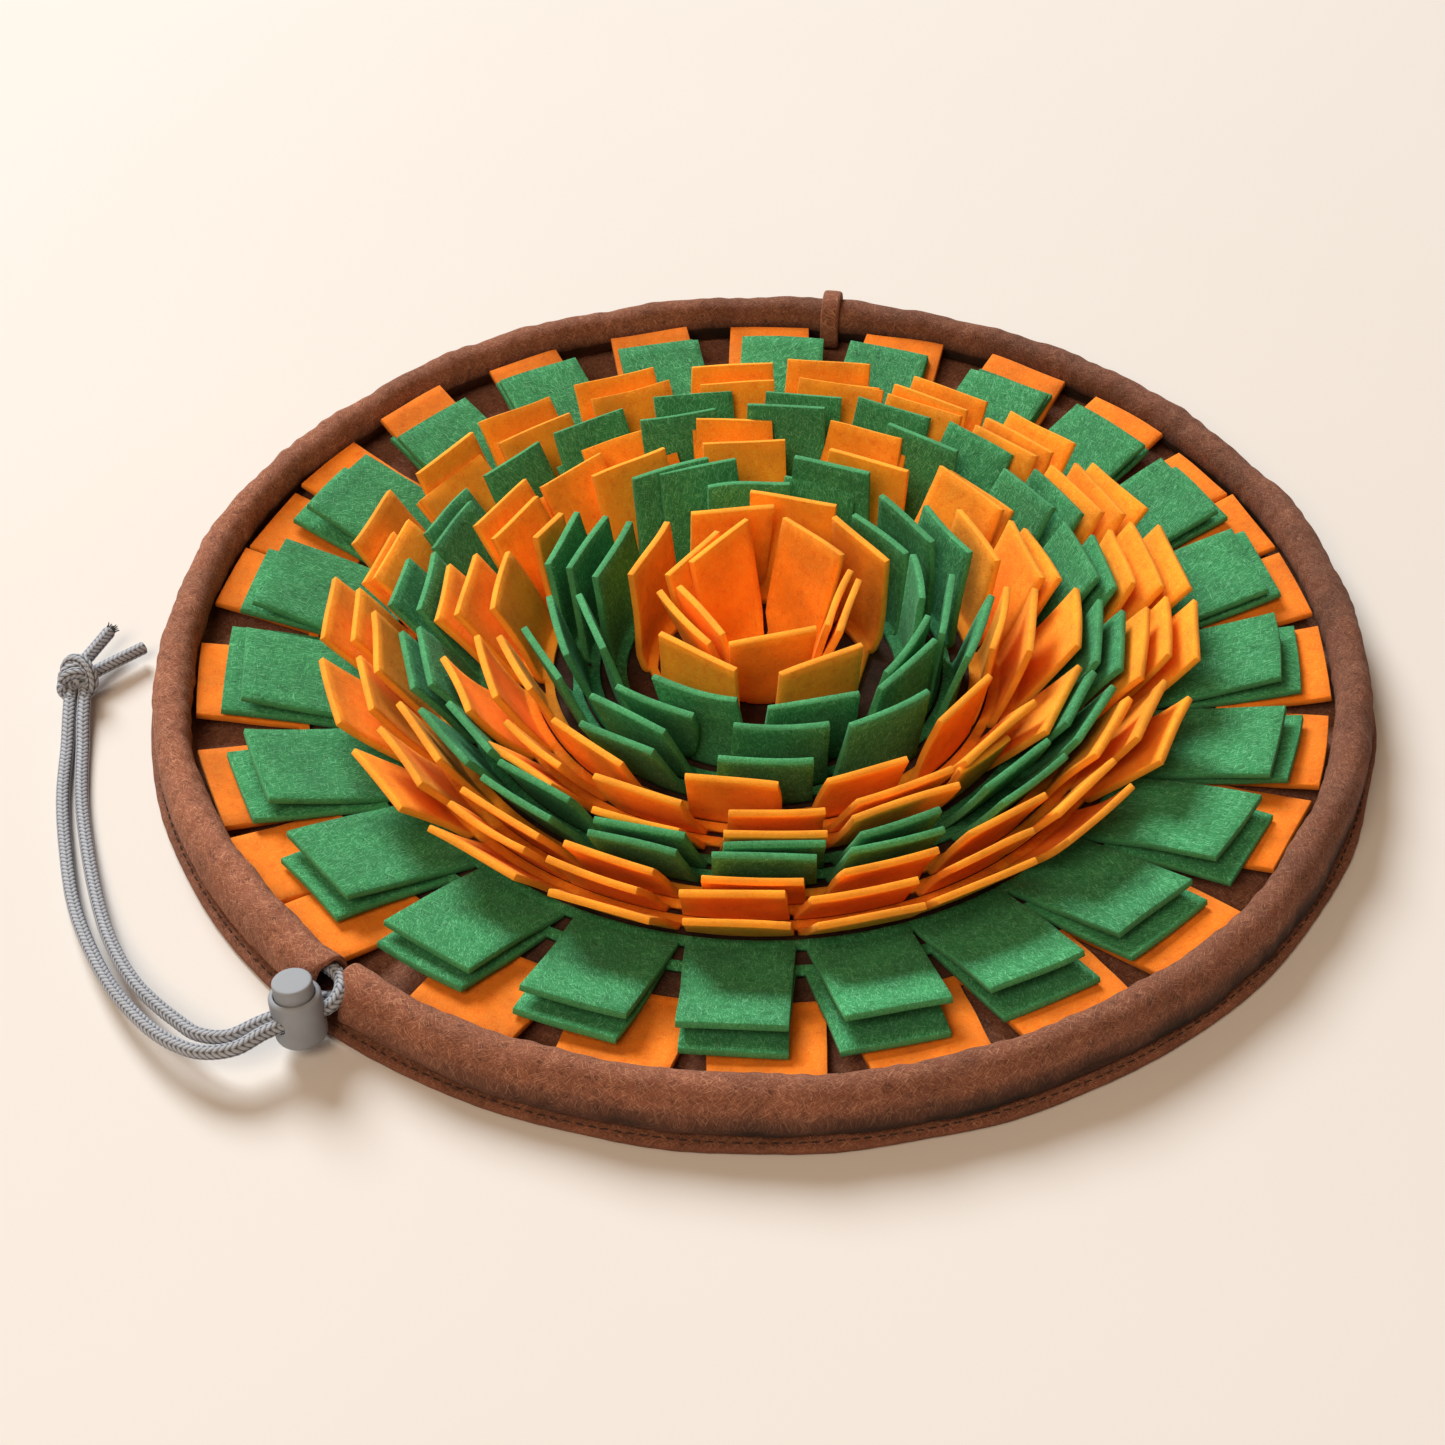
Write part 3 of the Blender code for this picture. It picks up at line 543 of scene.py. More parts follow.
def fibres(graph, place, sets, detail=3.0):
    """The strongest of several noises, each stretched along its own direction."""
    strongest = None
    for turn, long, across, shift in sets:
        vector = graph.mapping(place, (long, across, across), turn, (shift, -shift, 0))
        one = graph.noise(vector, 1.0, detail, 0.62)
        strongest = one if strongest is None else graph.math("MAXIMUM", strongest, one)
    return strongest


def felt(name, base, deep, fleck, edge, cover, long, across, sheen, relief, limits, turns):
    """Pressed felt: crossing fibres over a mottled ground, paler and rougher where it is cut."""
    graph = Graph(name, 0.95, sheen, 0.45, fleck)
    place = graph.warp(graph.uv(), 0.13, 1.8)
    broad = graph.noise(graph.uv(), 0.055, 2.0, 0.5)
    patch = graph.noise(place, 0.30, 3.0, 0.6)
    lay = fibres(graph, place, [(turn, long, across, shift) for turn, shift in zip(turns, FIBRE_SHIFTS)], 1.6)
    pit = (long * 0.7, across * 1.3)
    pits = fibres(graph, place, ((35, *pit, 77.7), (118, *pit, 95.2)))
    fine = graph.noise(place, 1.5, 3.0, 0.7)
    level = graph.math("ADD", patch, graph.math("MULTIPLY", pits, -0.9))
    ground = graph.mix(graph.ramp(level, -0.26, 0.02), deep, base)
    flecks = graph.math("MULTIPLY", graph.ramp(lay, *limits), cover)
    specks = graph.math("MULTIPLY", graph.ramp(fine, 0.54, 0.68), cover * 0.5)
    cut = graph.math("MULTIPLY", graph.attribute("edge"), graph.ramp(fine, 0.34, 0.62, 0.15, 0.85))
    top = graph.mix(flecks, ground, fleck)
    top = graph.mix(specks, top, fleck)
    top = graph.mix(cut, top, edge)
    # The tone mark brings random tone and also painted light and shade, which the meshes put on the casing, the
    # disc and the strips
    tone = graph.math("ADD", graph.ramp(broad, 0.3, 0.7, -0.12, 0.12), graph.attribute("tone"))
    top = graph.mix(1.0, top, graph.math("ADD", tone, 1.0), "MULTIPLY")
    # Painted light: a lighter, more golden copy of the colour, used where the mesh marks it
    painted_light = graph.mix(1.0, top, PAINTED_LIGHT_TINT, "MULTIPLY")
    coarse = graph.bump(graph.math("ADD", lay, graph.math("MULTIPLY", patch, 0.8)), 0.75, relief)
    return graph.finish({
        "Base Color": graph.mix(graph.attribute("painted_light"), top, painted_light),
        "Normal": graph.bump(fine, 0.6, relief * 0.7, coarse),
    })


def make_materials():
    mats = {colour: felt(colour + "_felt_fibres", **look) for colour, look in FELTS.items()}
    mats["thread"] = thread_material()
    mats["cord"] = braid_material()
    mats["plastic"] = plastic_material()
    mats["steel"] = steel_material()
    return mats


def thread_material():
    graph = Graph("brown_thread_twist", 0.8)
    wave = graph.noise(graph.mapping(graph.position(), (0.0007, 0.0007, 0.0004)), 1.0, 3.0)
    tone = graph.mix(graph.ramp(wave, 0.35, 0.65), (0.020, 0.009, 0.005), (0.055, 0.026, 0.015))
    return graph.finish({"Base Color": tone})


def braid_material():
    graph = Graph("grey_braid_yarn", 0.72, 0.25, 0.4, (0.8, 0.82, 0.88))
    place = graph.uv("yarn")
    ways = [graph.mapping(place, (1.6, 0.09, 1.0), turn) for turn in (24, -24)]
    threads = graph.math("MAXIMUM", *(graph.noise(way, 1.0, 2.0, 0.6) for way in ways))
    broad = graph.noise(place, 0.12, 2.0)
    yarn = graph.mix(graph.ramp(threads, 0.42, 0.68), (0.25, 0.285, 0.34), (0.56, 0.61, 0.70))
    yarn = graph.mix(graph.ramp(broad, 0.35, 0.65, 0.0, 0.35), yarn, (0.36, 0.39, 0.45))
    # Painted shade: the braid's grooves are painted nearly black
    groove = graph.ramp(graph.attribute("depth"), 0.22, 0.78)
    return graph.finish({
        "Base Color": graph.mix(groove, (0.040, 0.044, 0.055), yarn),
        "Normal": graph.bump(threads, 0.5, 0.0001),
    })


def plastic_material():
    graph = Graph("grey_moulded_plastic", 0.60)
    place = graph.position()
    grain = graph.noise(place, 5200.0, 3.0, 0.6)
    cloud = graph.noise(place, 160.0, 3.0, 0.5)
    scuff = graph.noise(graph.mapping(place, (0.004, 0.0003, 0.002), 35), 1.0, 3.0, 0.6)
    tone = graph.mix(graph.ramp(cloud, 0.3, 0.7), (0.262, 0.292, 0.338), (0.292, 0.325, 0.373))
    return graph.finish({
        "Base Color": graph.mix(graph.ramp(scuff, 0.66, 0.80, 0.0, 0.35), tone, (0.35, 0.375, 0.41)),
        "Specular IOR Level": 0.28,
        "Roughness": graph.ramp(cloud, 0.25, 0.75, 0.54, 0.66),
        "Normal": graph.bump(grain, 0.18, 0.00005),
    })


def steel_material():
    graph = Graph("spring_steel_wire", 0.3, metallic=1.0)
    drawn = graph.noise(graph.mapping(graph.position(), (0.002, 0.002, 0.0002)), 1.0, 3.0)
    return graph.finish({
        "Base Color": graph.mix(graph.ramp(drawn, 0.3, 0.7), (0.46, 0.46, 0.47), (0.64, 0.64, 0.64)),
        "Roughness": graph.ramp(drawn, 0.3, 0.7, 0.24, 0.40),
    })


def floor_material():
    graph = Graph("pale_floor_paper", 0.75)
    place = graph.position()
    cloud = graph.noise(place, 2.2, 3.0, 0.5)
    grain = graph.noise(place, 900.0, 2.0, 0.5)
    return graph.finish({
        "Base Color": graph.mix(graph.ramp(cloud, 0.3, 0.7), (0.690, 0.674, 0.656), (0.704, 0.690, 0.674)),
        "Normal": graph.bump(grain, 0.05, 0.0001),
    })


# Meshes

def mesh_object(name, points, faces):
    mesh = bpy.data.meshes.new(name)
    mesh.from_pydata(np.asarray(points, dtype=float).tolist(), [], [list(map(int, face)) for face in faces])
    mesh.update()
    return link(name, mesh)


def new_mesh(name, points, faces, material, uv=None, attributes=(), uv_name="fibre"):
    """A smooth-shaded mesh object. uv holds one pair for every corner of every face, in order."""
    thing = mesh_object(name, points, faces)
    mesh = thing.data
    mesh.shade_smooth()
    if uv is not None:
        layer = mesh.uv_layers.new(name=uv_name)
        layer.data.foreach_set("uv", np.asarray(uv, dtype=np.float32).ravel())
    for label, values in attributes:
        spot = mesh.attributes.new(label, "FLOAT", "POINT")
        spot.data.foreach_set("value", np.asarray(values, dtype=np.float32).ravel())
    mesh.materials.append(material)
    return thing


def ring_quad(low, high, spoke, around):
    """Corners of a face between the rings of points that start at low and high, first along the one at low."""
    after = (spoke + 1) % around
    return (low + spoke, low + after, high + after, high + spoke)


def quad_uv(a0, a1, b0, b1):
    """Corner uv of such a face: from a0 to a1 between its rings, from b0 to b1 along them."""
    return ((a0, b0), (a0, b1), (a1, b1), (a1, b0))


def flipped(corners):
    """The same corners the other way round, from the same first one."""
    return (corners[0], *corners[:0:-1])


def rounded_box(low_x, high_x, low_y, high_y, corner, steps):
    """Outline of a rectangle with round corners, from the one at high_x and high_y."""
    points = []
    for x, y, first in (
        (high_x - corner, high_y - corner, 0.0), (low_x + corner, high_y - corner, 90.0),
        (low_x + corner, low_y + corner, 180.0), (high_x - corner, low_y + corner, 270.0),
    ):
        for step in range(steps + 1):
            turn = math.radians(first + step * 90.0 / steps)
            points.append((x + corner * math.cos(turn), y + corner * math.sin(turn)))
    return points


def wander(rng, count, waves, size):
    """A closed line of smooth noise read at count places round it."""
    turn = np.linspace(0, 2 * np.pi, count, endpoint=False)
    line = np.zeros(count)
    for wave in waves:
        line += rng.normal() * np.sin(wave * turn + rng.uniform(0, 2 * np.pi)) / math.sqrt(len(waves))
    return line * size


# Cord routes, as the CAD has them

def oval_point(turn, grow=0.0):
    angle = math.radians(turn)
    across = math.copysign(abs(math.cos(angle)) ** CASING_SQUARENESS, math.cos(angle))
    along = math.copysign(abs(math.sin(angle)) ** CASING_SQUARENESS, math.sin(angle))
    return (
        CASING_CENTRE + (CASING_WIDTH / 2 + grow) * across,
        CASING_MIDDLE + (CASING_HEIGHT / 2 + grow) * along,
    )


def gap_point(outward, aside, height):
    point = polar(CASING_CENTRE + outward, GAP_AZIMUTH) + polar(aside, GAP_AZIMUTH + 90.0)
    return Vector((point.x, point.y, height))


def lock_axes():
    run = polar(1.0, LOCK_AZIMUTH)
    level = polar(1.0, LOCK_AZIMUTH + 90.0)
    tilt = Matrix.Rotation(math.radians(LOCK_TILT), 3, run)
    return run, tilt @ level, tilt @ Vector((0, 0, 1))


def lock_centre():
    return gap_point(LOCK_OUT, LOCK_ASIDE, LOCK_HEIGHT)


def straight_run(side):
    run, across, _up = lock_axes()
    middle = lock_centre() + across * (side * STRAND_PITCH / 2)
    start = middle - run * (BARREL_RADIUS - STRAND_CLEARANCE)
    end = middle + run * (BARREL_RADIUS + LOCK_TRAVEL + CORD / 4)
    return start, end


def exit_bend(side):
    """Bend of a strand from its mouth of the casing to the lock, one strand crossing above the other."""
    start, _end = straight_run(side)
    swing = math.radians(LOCK_AZIMUTH - GAP_AZIMUTH)
    turn = math.radians(90.0) - side * swing
    line = start - lock_centre()
    start_out = LOCK_OUT + line.dot(polar(1.0, GAP_AZIMUTH))
    start_aside = LOCK_ASIDE + line.dot(polar(1.0, GAP_AZIMUTH + 90.0))
    bend_out = EXIT_BEND * (1 - math.cos(turn))
    bend_aside = start_aside + (bend_out - start_out) * math.tan(swing)
    first = bend_aside - side * EXIT_BEND * math.sin(turn)
    height = CASING_MIDDLE + (OVER_LIFT if side > 0 else -UNDER_DROP)
    mouth = side * -(CASING_GAP / 2 + MOUTH_DEPTH)
    points = [gap_point(0, mouth, height), gap_point(0, (mouth + first) / 2, height)]
    for step in range(EXIT_STEPS + 1):
        part = turn * step / EXIT_STEPS
        outward = EXIT_BEND * (1 - math.cos(part))
        climb = smoothstep((outward - CROSSING_OUT) / (start_out - CROSSING_OUT))
        level = height + (start.z - height) * climb
        points.append(gap_point(outward, first + side * EXIT_BEND * math.sin(part), level))
    return points


def line_length(line):
    return sum((b - a).length for a, b in zip(line, line[1:]))


def smooth_line(points, step):
    """Points read at an even step along a Catmull-Rom curve through the given points."""
    ends = [2 * points[0] - points[1], *points, 2 * points[-1] - points[-2]]
    fine = []
    samples = 12
    for index in range(1, len(ends) - 2):
        before, here, there, after = ends[index - 1:index + 3]
        for sample in range(samples):
            t = sample / samples
            fine.append(0.5 * (
                2 * here
                + (there - before) * t
                + (2 * before - 5 * here + 4 * there - after) * t ** 2
                + (3 * here - before - 3 * there + after) * t ** 3
            ))
    fine.append(points[-1].copy())
    length = line_length(fine)
    count = max(2, round(length / step))
    line = [fine[0]]
    target = length / count
    walked = 0.0
    for a, b in zip(fine, fine[1:]):
        span = (b - a).length
        while walked + span >= target * len(line) and len(line) < count:
            line.append(a.lerp(b, (target * len(line) - walked) / span))
        walked += span
    line.append(fine[-1])
    return line


def knot_axes():
    return polar(1.0, KNOT_HEADING), polar(1.0, KNOT_HEADING - 90.0)


def knot_entry(side, past=0.0):
    forward, across = knot_axes()
    back = KNOT_LENGTH / 2 + KNOT_STUB - past
    near = Vector(KNOT_CENTRE) - forward * back - across * (side * STRAND_PITCH / 2)
    return Vector((near.x, near.y, KNOT_ENTRY_HEIGHT))


def strand_points(side):
    """A strand from its mouth, through the lock, to the knot."""
    start, end = straight_run(side)
    route = OUTER_ROUTE if side > 0 else INNER_ROUTE
    near = smooth_line([*exit_bend(side), start], CORD * BEND_STEP)
    straight = [start.lerp(end, share) for share in STRAIGHTS]
    far = smooth_line([straight[-1], end, *(Vector(point) for point in route), knot_entry(side)], CORD_STEP)
    return [*near, *straight, *far[1:]]


# Braided cord

def frames_along(line):
    """Two directions across a line at each of its points, which don't twist along it."""
    tangent = np.gradient(line, axis=0)
    tangent /= np.linalg.norm(tangent, axis=1)[:, None]
    side = np.zeros_like(line)
    first = np.cross(tangent[0], (0, 0, 1.0))
    if np.linalg.norm(first) < 0.1:
        first = np.cross(tangent[0], (1.0, 0, 0))
    side[0] = first / np.linalg.norm(first)
    for index in range(1, len(line)):
        one = side[index - 1] - tangent[index] * np.dot(side[index - 1], tangent[index])
        side[index] = one / np.linalg.norm(one)
    return side, np.cross(tangent, side)


def braid_depth(around, along):
    """Height of the braid, 0 in its grooves and 1 on its crests, by share of the turn and metres along."""
    column = around * BRAID_COLUMNS
    share = column - np.floor(column)
    way = np.where(np.floor(column).astype(int) % 2 == 0, 1.0, -1.0)
    phase = along / BRAID_STITCH + way * (share - 0.5) * 1.15
    stitch = np.abs(np.sin(np.pi * phase)) ** 0.75
    ridge = np.sin(np.pi * share) ** 0.5
    return (0.12 + 0.88 * stitch) * (0.30 + 0.70 * ridge)


def cord_tube(line, step, around, radius=CORD / 2, relief=BRAID_RELIEF, ends=(0.0, 0.0)):
    """Points, faces, corner uv and braid depth of a closed braided tube along a line, rounded over its ends."""
    line = np.array([list(point) for point in smooth_line([Vector(point) for point in line], step)])
    side, up = frames_along(line)
    along = np.concatenate([[0], np.cumsum(np.linalg.norm(np.diff(line, axis=0), axis=1))])
    turn = np.arange(around) / around
    grid_along, grid_turn = np.meshgrid(along, turn, indexing="ij")
    depth = braid_depth(grid_turn, grid_along)
    rings = radius + relief * (depth - BRAID_LEVEL)
    for end, far in zip(ends, (along, along[-1] - along)):
        if end > 0:
            shrink = np.sqrt(np.clip(1 - (1 - np.clip(far / end, 0, 1)) ** 2, 0.02, 1))
            rings = rings * shrink[:, None]
    angle = 2 * np.pi * turn
    spokes = np.cos(angle)[None, :, None] * side[:, None, :] + np.sin(angle)[None, :, None] * up[:, None, :]
    points = (line[:, None, :] + rings[:, :, None] * spokes).reshape(-1, 3)
    faces, uv = [], []
    girth = 2 * math.pi * radius / MM
    last = (len(line) - 1) * around
    for ring in range(len(line) - 1):
        for spoke in range(around):
            faces.append(ring_quad(ring * around, (ring + 1) * around, spoke, around))
            t0, t1 = spoke / around * girth, (spoke + 1) / around * girth
            uv.extend(quad_uv(along[ring] / MM, along[ring + 1] / MM, t0, t1))
    base = len(points)
    for spoke in range(around):
        after = (spoke + 1) % around
        faces.append((base, after, spoke))
        faces.append((base + 1, last + spoke, last + after))
        uv.extend(2 * ((0, 0), (1, 0), (0, 1)))
    return np.vstack([points, line[:1], line[-1:]]), faces, uv, np.concatenate([depth.ravel(), [0.2, 0.2]])


def cord_object(name, tubes, material):
    """One object from several tubes."""
    points, faces, uv, depth = [], [], [], []
    shift = 0
    for some_points, some_faces, some_uv, some_depth in tubes:
        points.append(some_points)
        faces.extend(tuple(index + shift for index in face) for face in some_faces)
        uv.extend(some_uv)
        depth.append(some_depth)
        shift += len(some_points)
    return new_mesh(name, np.vstack(points), faces, material, uv, (("depth", np.concatenate(depth)),), "yarn")


def make_strands(mats):
    """The two free strands, each ending in the knot."""
    made = {}
    for side, name in ((-1, "drawstring_inner_strand"), (1, "drawstring_outer_strand")):
        route = strand_points(side)
        piece = cord_object(name + "_braid", [cord_tube(route, BRAID_STEP, CORD_SIDES)], mats["cord"])
        path = smooth_line(route, CORD_PATH_STEP)
        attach(piece, "mat")
        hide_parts(name)
        made[side] = (piece, path)
    return made


def make_rim_cord(mats):
    """The drawstring inside the casing, braided where its ends can be seen in the mouths."""
    rest = FELT + GAP + CASING_FELT + GAP + CORD / 2
    under_lift = CASING_MIDDLE - UNDER_DROP - rest
    over_lift = CASING_MIDDLE + OVER_LIFT - rest
    inset = math.degrees((CASING_GAP / 2 + MOUTH_DEPTH + GAP) / CASING_CENTRE)
    sweep = 360.0 - 2 * inset
    turns = np.concatenate([
        np.linspace(0, MOUTH_RISE, 12),
        np.linspace(MOUTH_RISE, sweep - MOUTH_RISE, 110)[1:-1],
        np.linspace(sweep - MOUTH_RISE, sweep, 12),
    ])
    points = []
    for turn in turns:
        under_end = 1 - smoothstep(turn / MOUTH_RISE)
        over_end = 1 - smoothstep((sweep - turn) / MOUTH_RISE)
        height = rest + under_lift * under_end + over_lift * over_end
        points.append(polar(CASING_CENTRE, GAP_AZIMUTH + inset + turn, height))
    seen = 9
    near = cord_tube(points[:seen], BRAID_STEP, CORD_SIDES)
    far = cord_tube(points[-seen:], BRAID_STEP, CORD_SIDES)
    hidden = cord_tube(points[seen - 1:1 - seen], HIDDEN_CORD_STEP, HIDDEN_CORD_SIDES, relief=0.0)
    piece = cord_object("drawstring_in_rim_braid", [near, hidden, far], mats["cord"])
    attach(piece, "mat")
    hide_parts("drawstring_in_rim")


# Knot

def frayed_end(tip, way):
    """Loose yarns that fan out of a cut end of the cord."""
    rng = np.random.default_rng(YARN_SEED)
    side = way.cross(UP).normalized()
    rise = side.cross(way)
    yarns = []
    for _index in range(LOOSE_YARNS):
        angle, share = rng.uniform(0, 2 * math.pi), math.sqrt(rng.uniform(0.02, 1))
        off = side * math.cos(angle) + rise * math.sin(angle)
        length = rng.uniform(0.0012, 0.0030)
        start = tip - way * 0.0016 + off * (share * 0.0018)
        middle = tip + way * (length * 0.45) + off * (share * 0.0021)
        end = tip + way * length + off * (share * rng.uniform(0.0022, 0.0034))
        yarn = cord_tube([start, middle, end], 0.0006, 6, radius=LOOSE_YARN, relief=0.0, ends=(0.0, 0.0003))
        yarns.append(yarn)
    return yarns


def make_knot(mats):
    """Overhand knot: wraps across its lower left, a loop over their right ends, and the two short ends."""
    forward, across = knot_axes()
    centre = Vector(KNOT_CENTRE)
    step = BRAID_STITCH / 4

    def at(a, f, u):
        """Point so many mm across, forward and up from the knot's middle."""
        return centre + (across * a + forward * f + UP * u) * MM

    tubes = []
    core = [at(0, -5.2, -0.3), at(0, -2, 0), at(0, 2, 0), at(0, 5.0, 0)]
    tubes.append(cord_tube(core, step, 28, radius=KNOT_CORE, ends=(0.002, 0.002)))
    wrap = []
    for index in range(49):
        turn = math.radians(150 + index * 18.75)
        share = index / 48
        wrap.append(at(
            5.0 * math.cos(turn) - 0.3,
            -4.6 + 7.4 * share + 0.9 * math.cos(turn),
            4.9 * math.sin(turn),
        ))
    tubes.append(cord_tube(wrap, step, 36, radius=KNOT_WRAP, ends=(0.001, 0.001)))
    loop = [
        at(-3.4, 3.6, -1.0), at(-4.2, 4.6, 2.0), at(-1.8, 4.7, 5.4), at(1.8, 3.0, 6.3), at(4.2, 0.2, 5.4),
        at(5.6, -2.6, 3.2), at(5.4, -4.4, 0.2), at(3.6, -4.6, -2.6), at(1.0, -3.6, -4.0),
    ]
    tubes.append(cord_tube(loop, step, 36, radius=KNOT_LOOP, ends=(0.001, 0.001)))
    for side in (-1, 1):
        entry = [knot_entry(side, GAP), knot_entry(side, KNOT_STUB), knot_entry(side, KNOT_STUB * 2.2)]
        tubes.append(cord_tube(entry, step, CORD_SIDES, ends=(0, 0.001)))
    for index, (length, turn, climb) in enumerate(zip(END_LENGTHS, END_HEADINGS, END_RISES)):
        side = index - 0.5
        root = centre + forward * (KNOT_LENGTH / 2 - END_SINK) + across * (side * 2 * END_ROOT)
        way = polar(1.0, turn)
        middle = root + way * (length * 0.5) + UP * (climb * 0.3)
        end = [root, middle, root + way * (length + END_SINK) + UP * climb]
        tubes.append(cord_tube(end, step, CORD_SIDES, ends=(0.001, 0.0004)))
        if index == 0:
            tubes.extend(frayed_end(end[-1], (end[-1] - end[-2]).normalized()))
    piece = cord_object("drawstring_knot_braid", tubes, mats["cord"])
    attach(piece, "mat")
    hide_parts("drawstring_knot")
    return piece


# Cord lock

def lock_matrix():
    run, across, up = lock_axes()
    return Matrix.Translation(lock_centre()) @ Matrix((run, across, up)).transposed().to_4x4()


def fillet(radius, height, size, steps):
    """Quarter-round corner of a turned profile at (radius, height)."""
    points = []
    for step in range(steps + 1):
        turn = math.pi / 2 * (1 - step / steps)
        points.append((radius - size + size * math.cos(turn), height - size + size * math.sin(turn)))
    return points


def turned(name, outline, material, steps=96):
    """A closed turned body from an outline that starts and ends on its axis."""
    ring = [(r, z) for r, z in outline if r > 0]
    points = [(0, 0, outline[0][1])]
    for r, z in ring:
        for step in range(steps):
            turn = 2 * math.pi * step / steps
            points.append((r * math.cos(turn), r * math.sin(turn), z))
    points.append((0, 0, outline[-1][1]))
    last = 1 + (len(ring) - 1) * steps
    faces = []
    for step in range(steps):
        after = (step + 1) % steps
        faces.append((0, 1 + after, 1 + step))
        faces.append((len(points) - 1, last + step, last + after))
    for low in range(1, last, steps):
        faces += [ring_quad(low, low + steps, step, steps) for step in range(steps)]
    return new_mesh(name, points, faces, material)


def slot_prism(name, low, high):
    """Long prism with round ends, for the hole that the strands run in."""
    half = STRAND_PITCH / 2 + CORD / 2 + STRAND_CLEARANCE
    kept = []
    for point in rounded_box(-half, half, low, high, CORD / 2, 12):
        if not kept or math.dist(point, kept[-1]) > SAME_PLACE:
            kept.append(point)
    if math.dist(kept[0], kept[-1]) < SAME_PLACE:
        kept.pop()
    count = len(kept)
    reach = BARREL_RADIUS + HOLE_OVERSHOOT
    points = [(end, y, z) for end in (-reach, reach) for y, z in kept]
    faces = [tuple(range(count - 1, -1, -1)), tuple(range(count, 2 * count))]
    faces += [ring_quad(0, count, index, count) for index in range(count)]
    return mesh_object(name, points, faces)


def cut_through(body, cutter):
    """Cuts the hole, keeps the result as the body's mesh and removes the cutter."""
    hole = body.modifiers.new("hole", "BOOLEAN")
    hole.operation = "DIFFERENCE"
    hole.solver = "EXACT"
    hole.object = cutter
    soft = body.modifiers.new("edge", "BEVEL")
    soft.width = EDGE_BEVEL
    soft.segments = 2
    soft.limit_method = "ANGLE"
    soft.angle_limit = math.radians(BEVEL_ANGLE)
    graph = bpy.context.evaluated_depsgraph_get()
    mesh = bpy.data.meshes.new_from_object(body.evaluated_get(graph))
    body.modifiers.clear()
    body.data = mesh
    mesh.shade_smooth()
    mesh.set_sharp_from_angle(angle=math.radians(SHARP_ANGLE))
    bpy.data.objects.remove(cutter, do_unlink=True)


def make_lock(mats):
    place = lock_matrix()
    hole = CORD / 2 + STRAND_CLEARANCE
    floor = -(hole + PLUNGER_SOLE + PLUNGER_TRAVEL + SPRING_SOLID)
    bore = BARREL_RADIUS - BARREL_WALL
    base = floor - BARREL_FLOOR
    outline = [(0, floor), (bore - BORE_CORNER, floor), (bore, floor + BORE_CORNER)]
    outline += [(bore, BARREL_RISE - BORE_EDGE), (bore + BORE_EDGE, BARREL_RISE)]
    outline += fillet(BARREL_RADIUS, BARREL_RISE, BARREL_FILLET, 8)[1:]
    outline += [(BARREL_RADIUS, (BARREL_RISE + base) / 2)]
    outline += [(r, 2 * base - z) for r, z in reversed(fillet(BARREL_RADIUS, base, BARREL_FOOT_FILLET, 10))]
    outline += [(0, base)]
    barrel = turned("lock_barrel_moulding", outline, mats["plastic"])
    cut_through(barrel, slot_prism("slot", -hole, hole))
    barrel.matrix_world = place
    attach(barrel, "cord_lock")
    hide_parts("lock_barrel")

    radius = bore - PLUNGER_CLEARANCE
    top = BARREL_RISE + PLUNGER_PROUD
    sole = -hole - PLUNGER_SOLE
    button = [(0, top), (radius * 0.6, top)]
    button += fillet(radius, top, PLUNGER_FILLET, 6)
    button += [(radius, sole), (0, sole)]
    plunger = turned("lock_plunger_moulding", button, mats["plastic"])
    plunger.data.flip_normals()
    cut_through(plunger, slot_prism("eye", -hole, hole + PLUNGER_TRAVEL))
    plunger.matrix_world = place
    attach(plunger, "plunger")
    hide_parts("lock_plunger")

    spring = make_spring(mats, place, floor, sole, radius - SPRING_INSET)
    return barrel, plunger, spring


def make_spring(mats, place, floor, sole, coil, steps=48, sides=12):
    """Spring wire under the plunger."""
    low, high = floor + GAP + SPRING_WIRE / 2, sole - GAP - SPRING_WIRE / 2
    count = SPRING_TURNS * steps
    points = []
    for index in range(count + 1):
        turn = 2 * math.pi * index / steps
        out = Vector((math.cos(turn), math.sin(turn), 0))
        middle = coil * out + Vector((0, 0, low + (high - low) * index / count))
        for side in range(sides):
            spin = 2 * math.pi * side / sides
            off = SPRING_WIRE / 2 * (math.cos(spin) * out + math.sin(spin) * UP)
            points.append(tuple(place @ (middle + off)))
    faces = [tuple(range(sides)), tuple(range((count + 1) * sides - 1, count * sides - 1, -1))]
    for low_ring in range(0, count * sides, sides):
        faces += [flipped(ring_quad(low_ring, low_ring + sides, side, sides)) for side in range(sides)]
    wire = new_mesh("lock_spring_wire", points, faces, mats["steel"])
    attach(wire, "cord_lock")
    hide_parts("lock_spring")
    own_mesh(wire)
    return wire


# Casing, base and strap

def casing_bumps(rng, shares, turns):
    """Low waves along and round the casing."""
    bumps = np.zeros((len(shares), len(turns)))
    for count, least, most, twists, size in CASING_WAVES:
        for _index in range(count):
            wave = rng.uniform(least, most)
            twist = rng.integers(-twists, twists + 1)
            phase = 2 * np.pi * (wave * shares[:, None] + twist * turns[None, :] / 360)
            bumps += rng.normal() * size * np.sin(phase + rng.uniform(*PHASES))
    return bumps


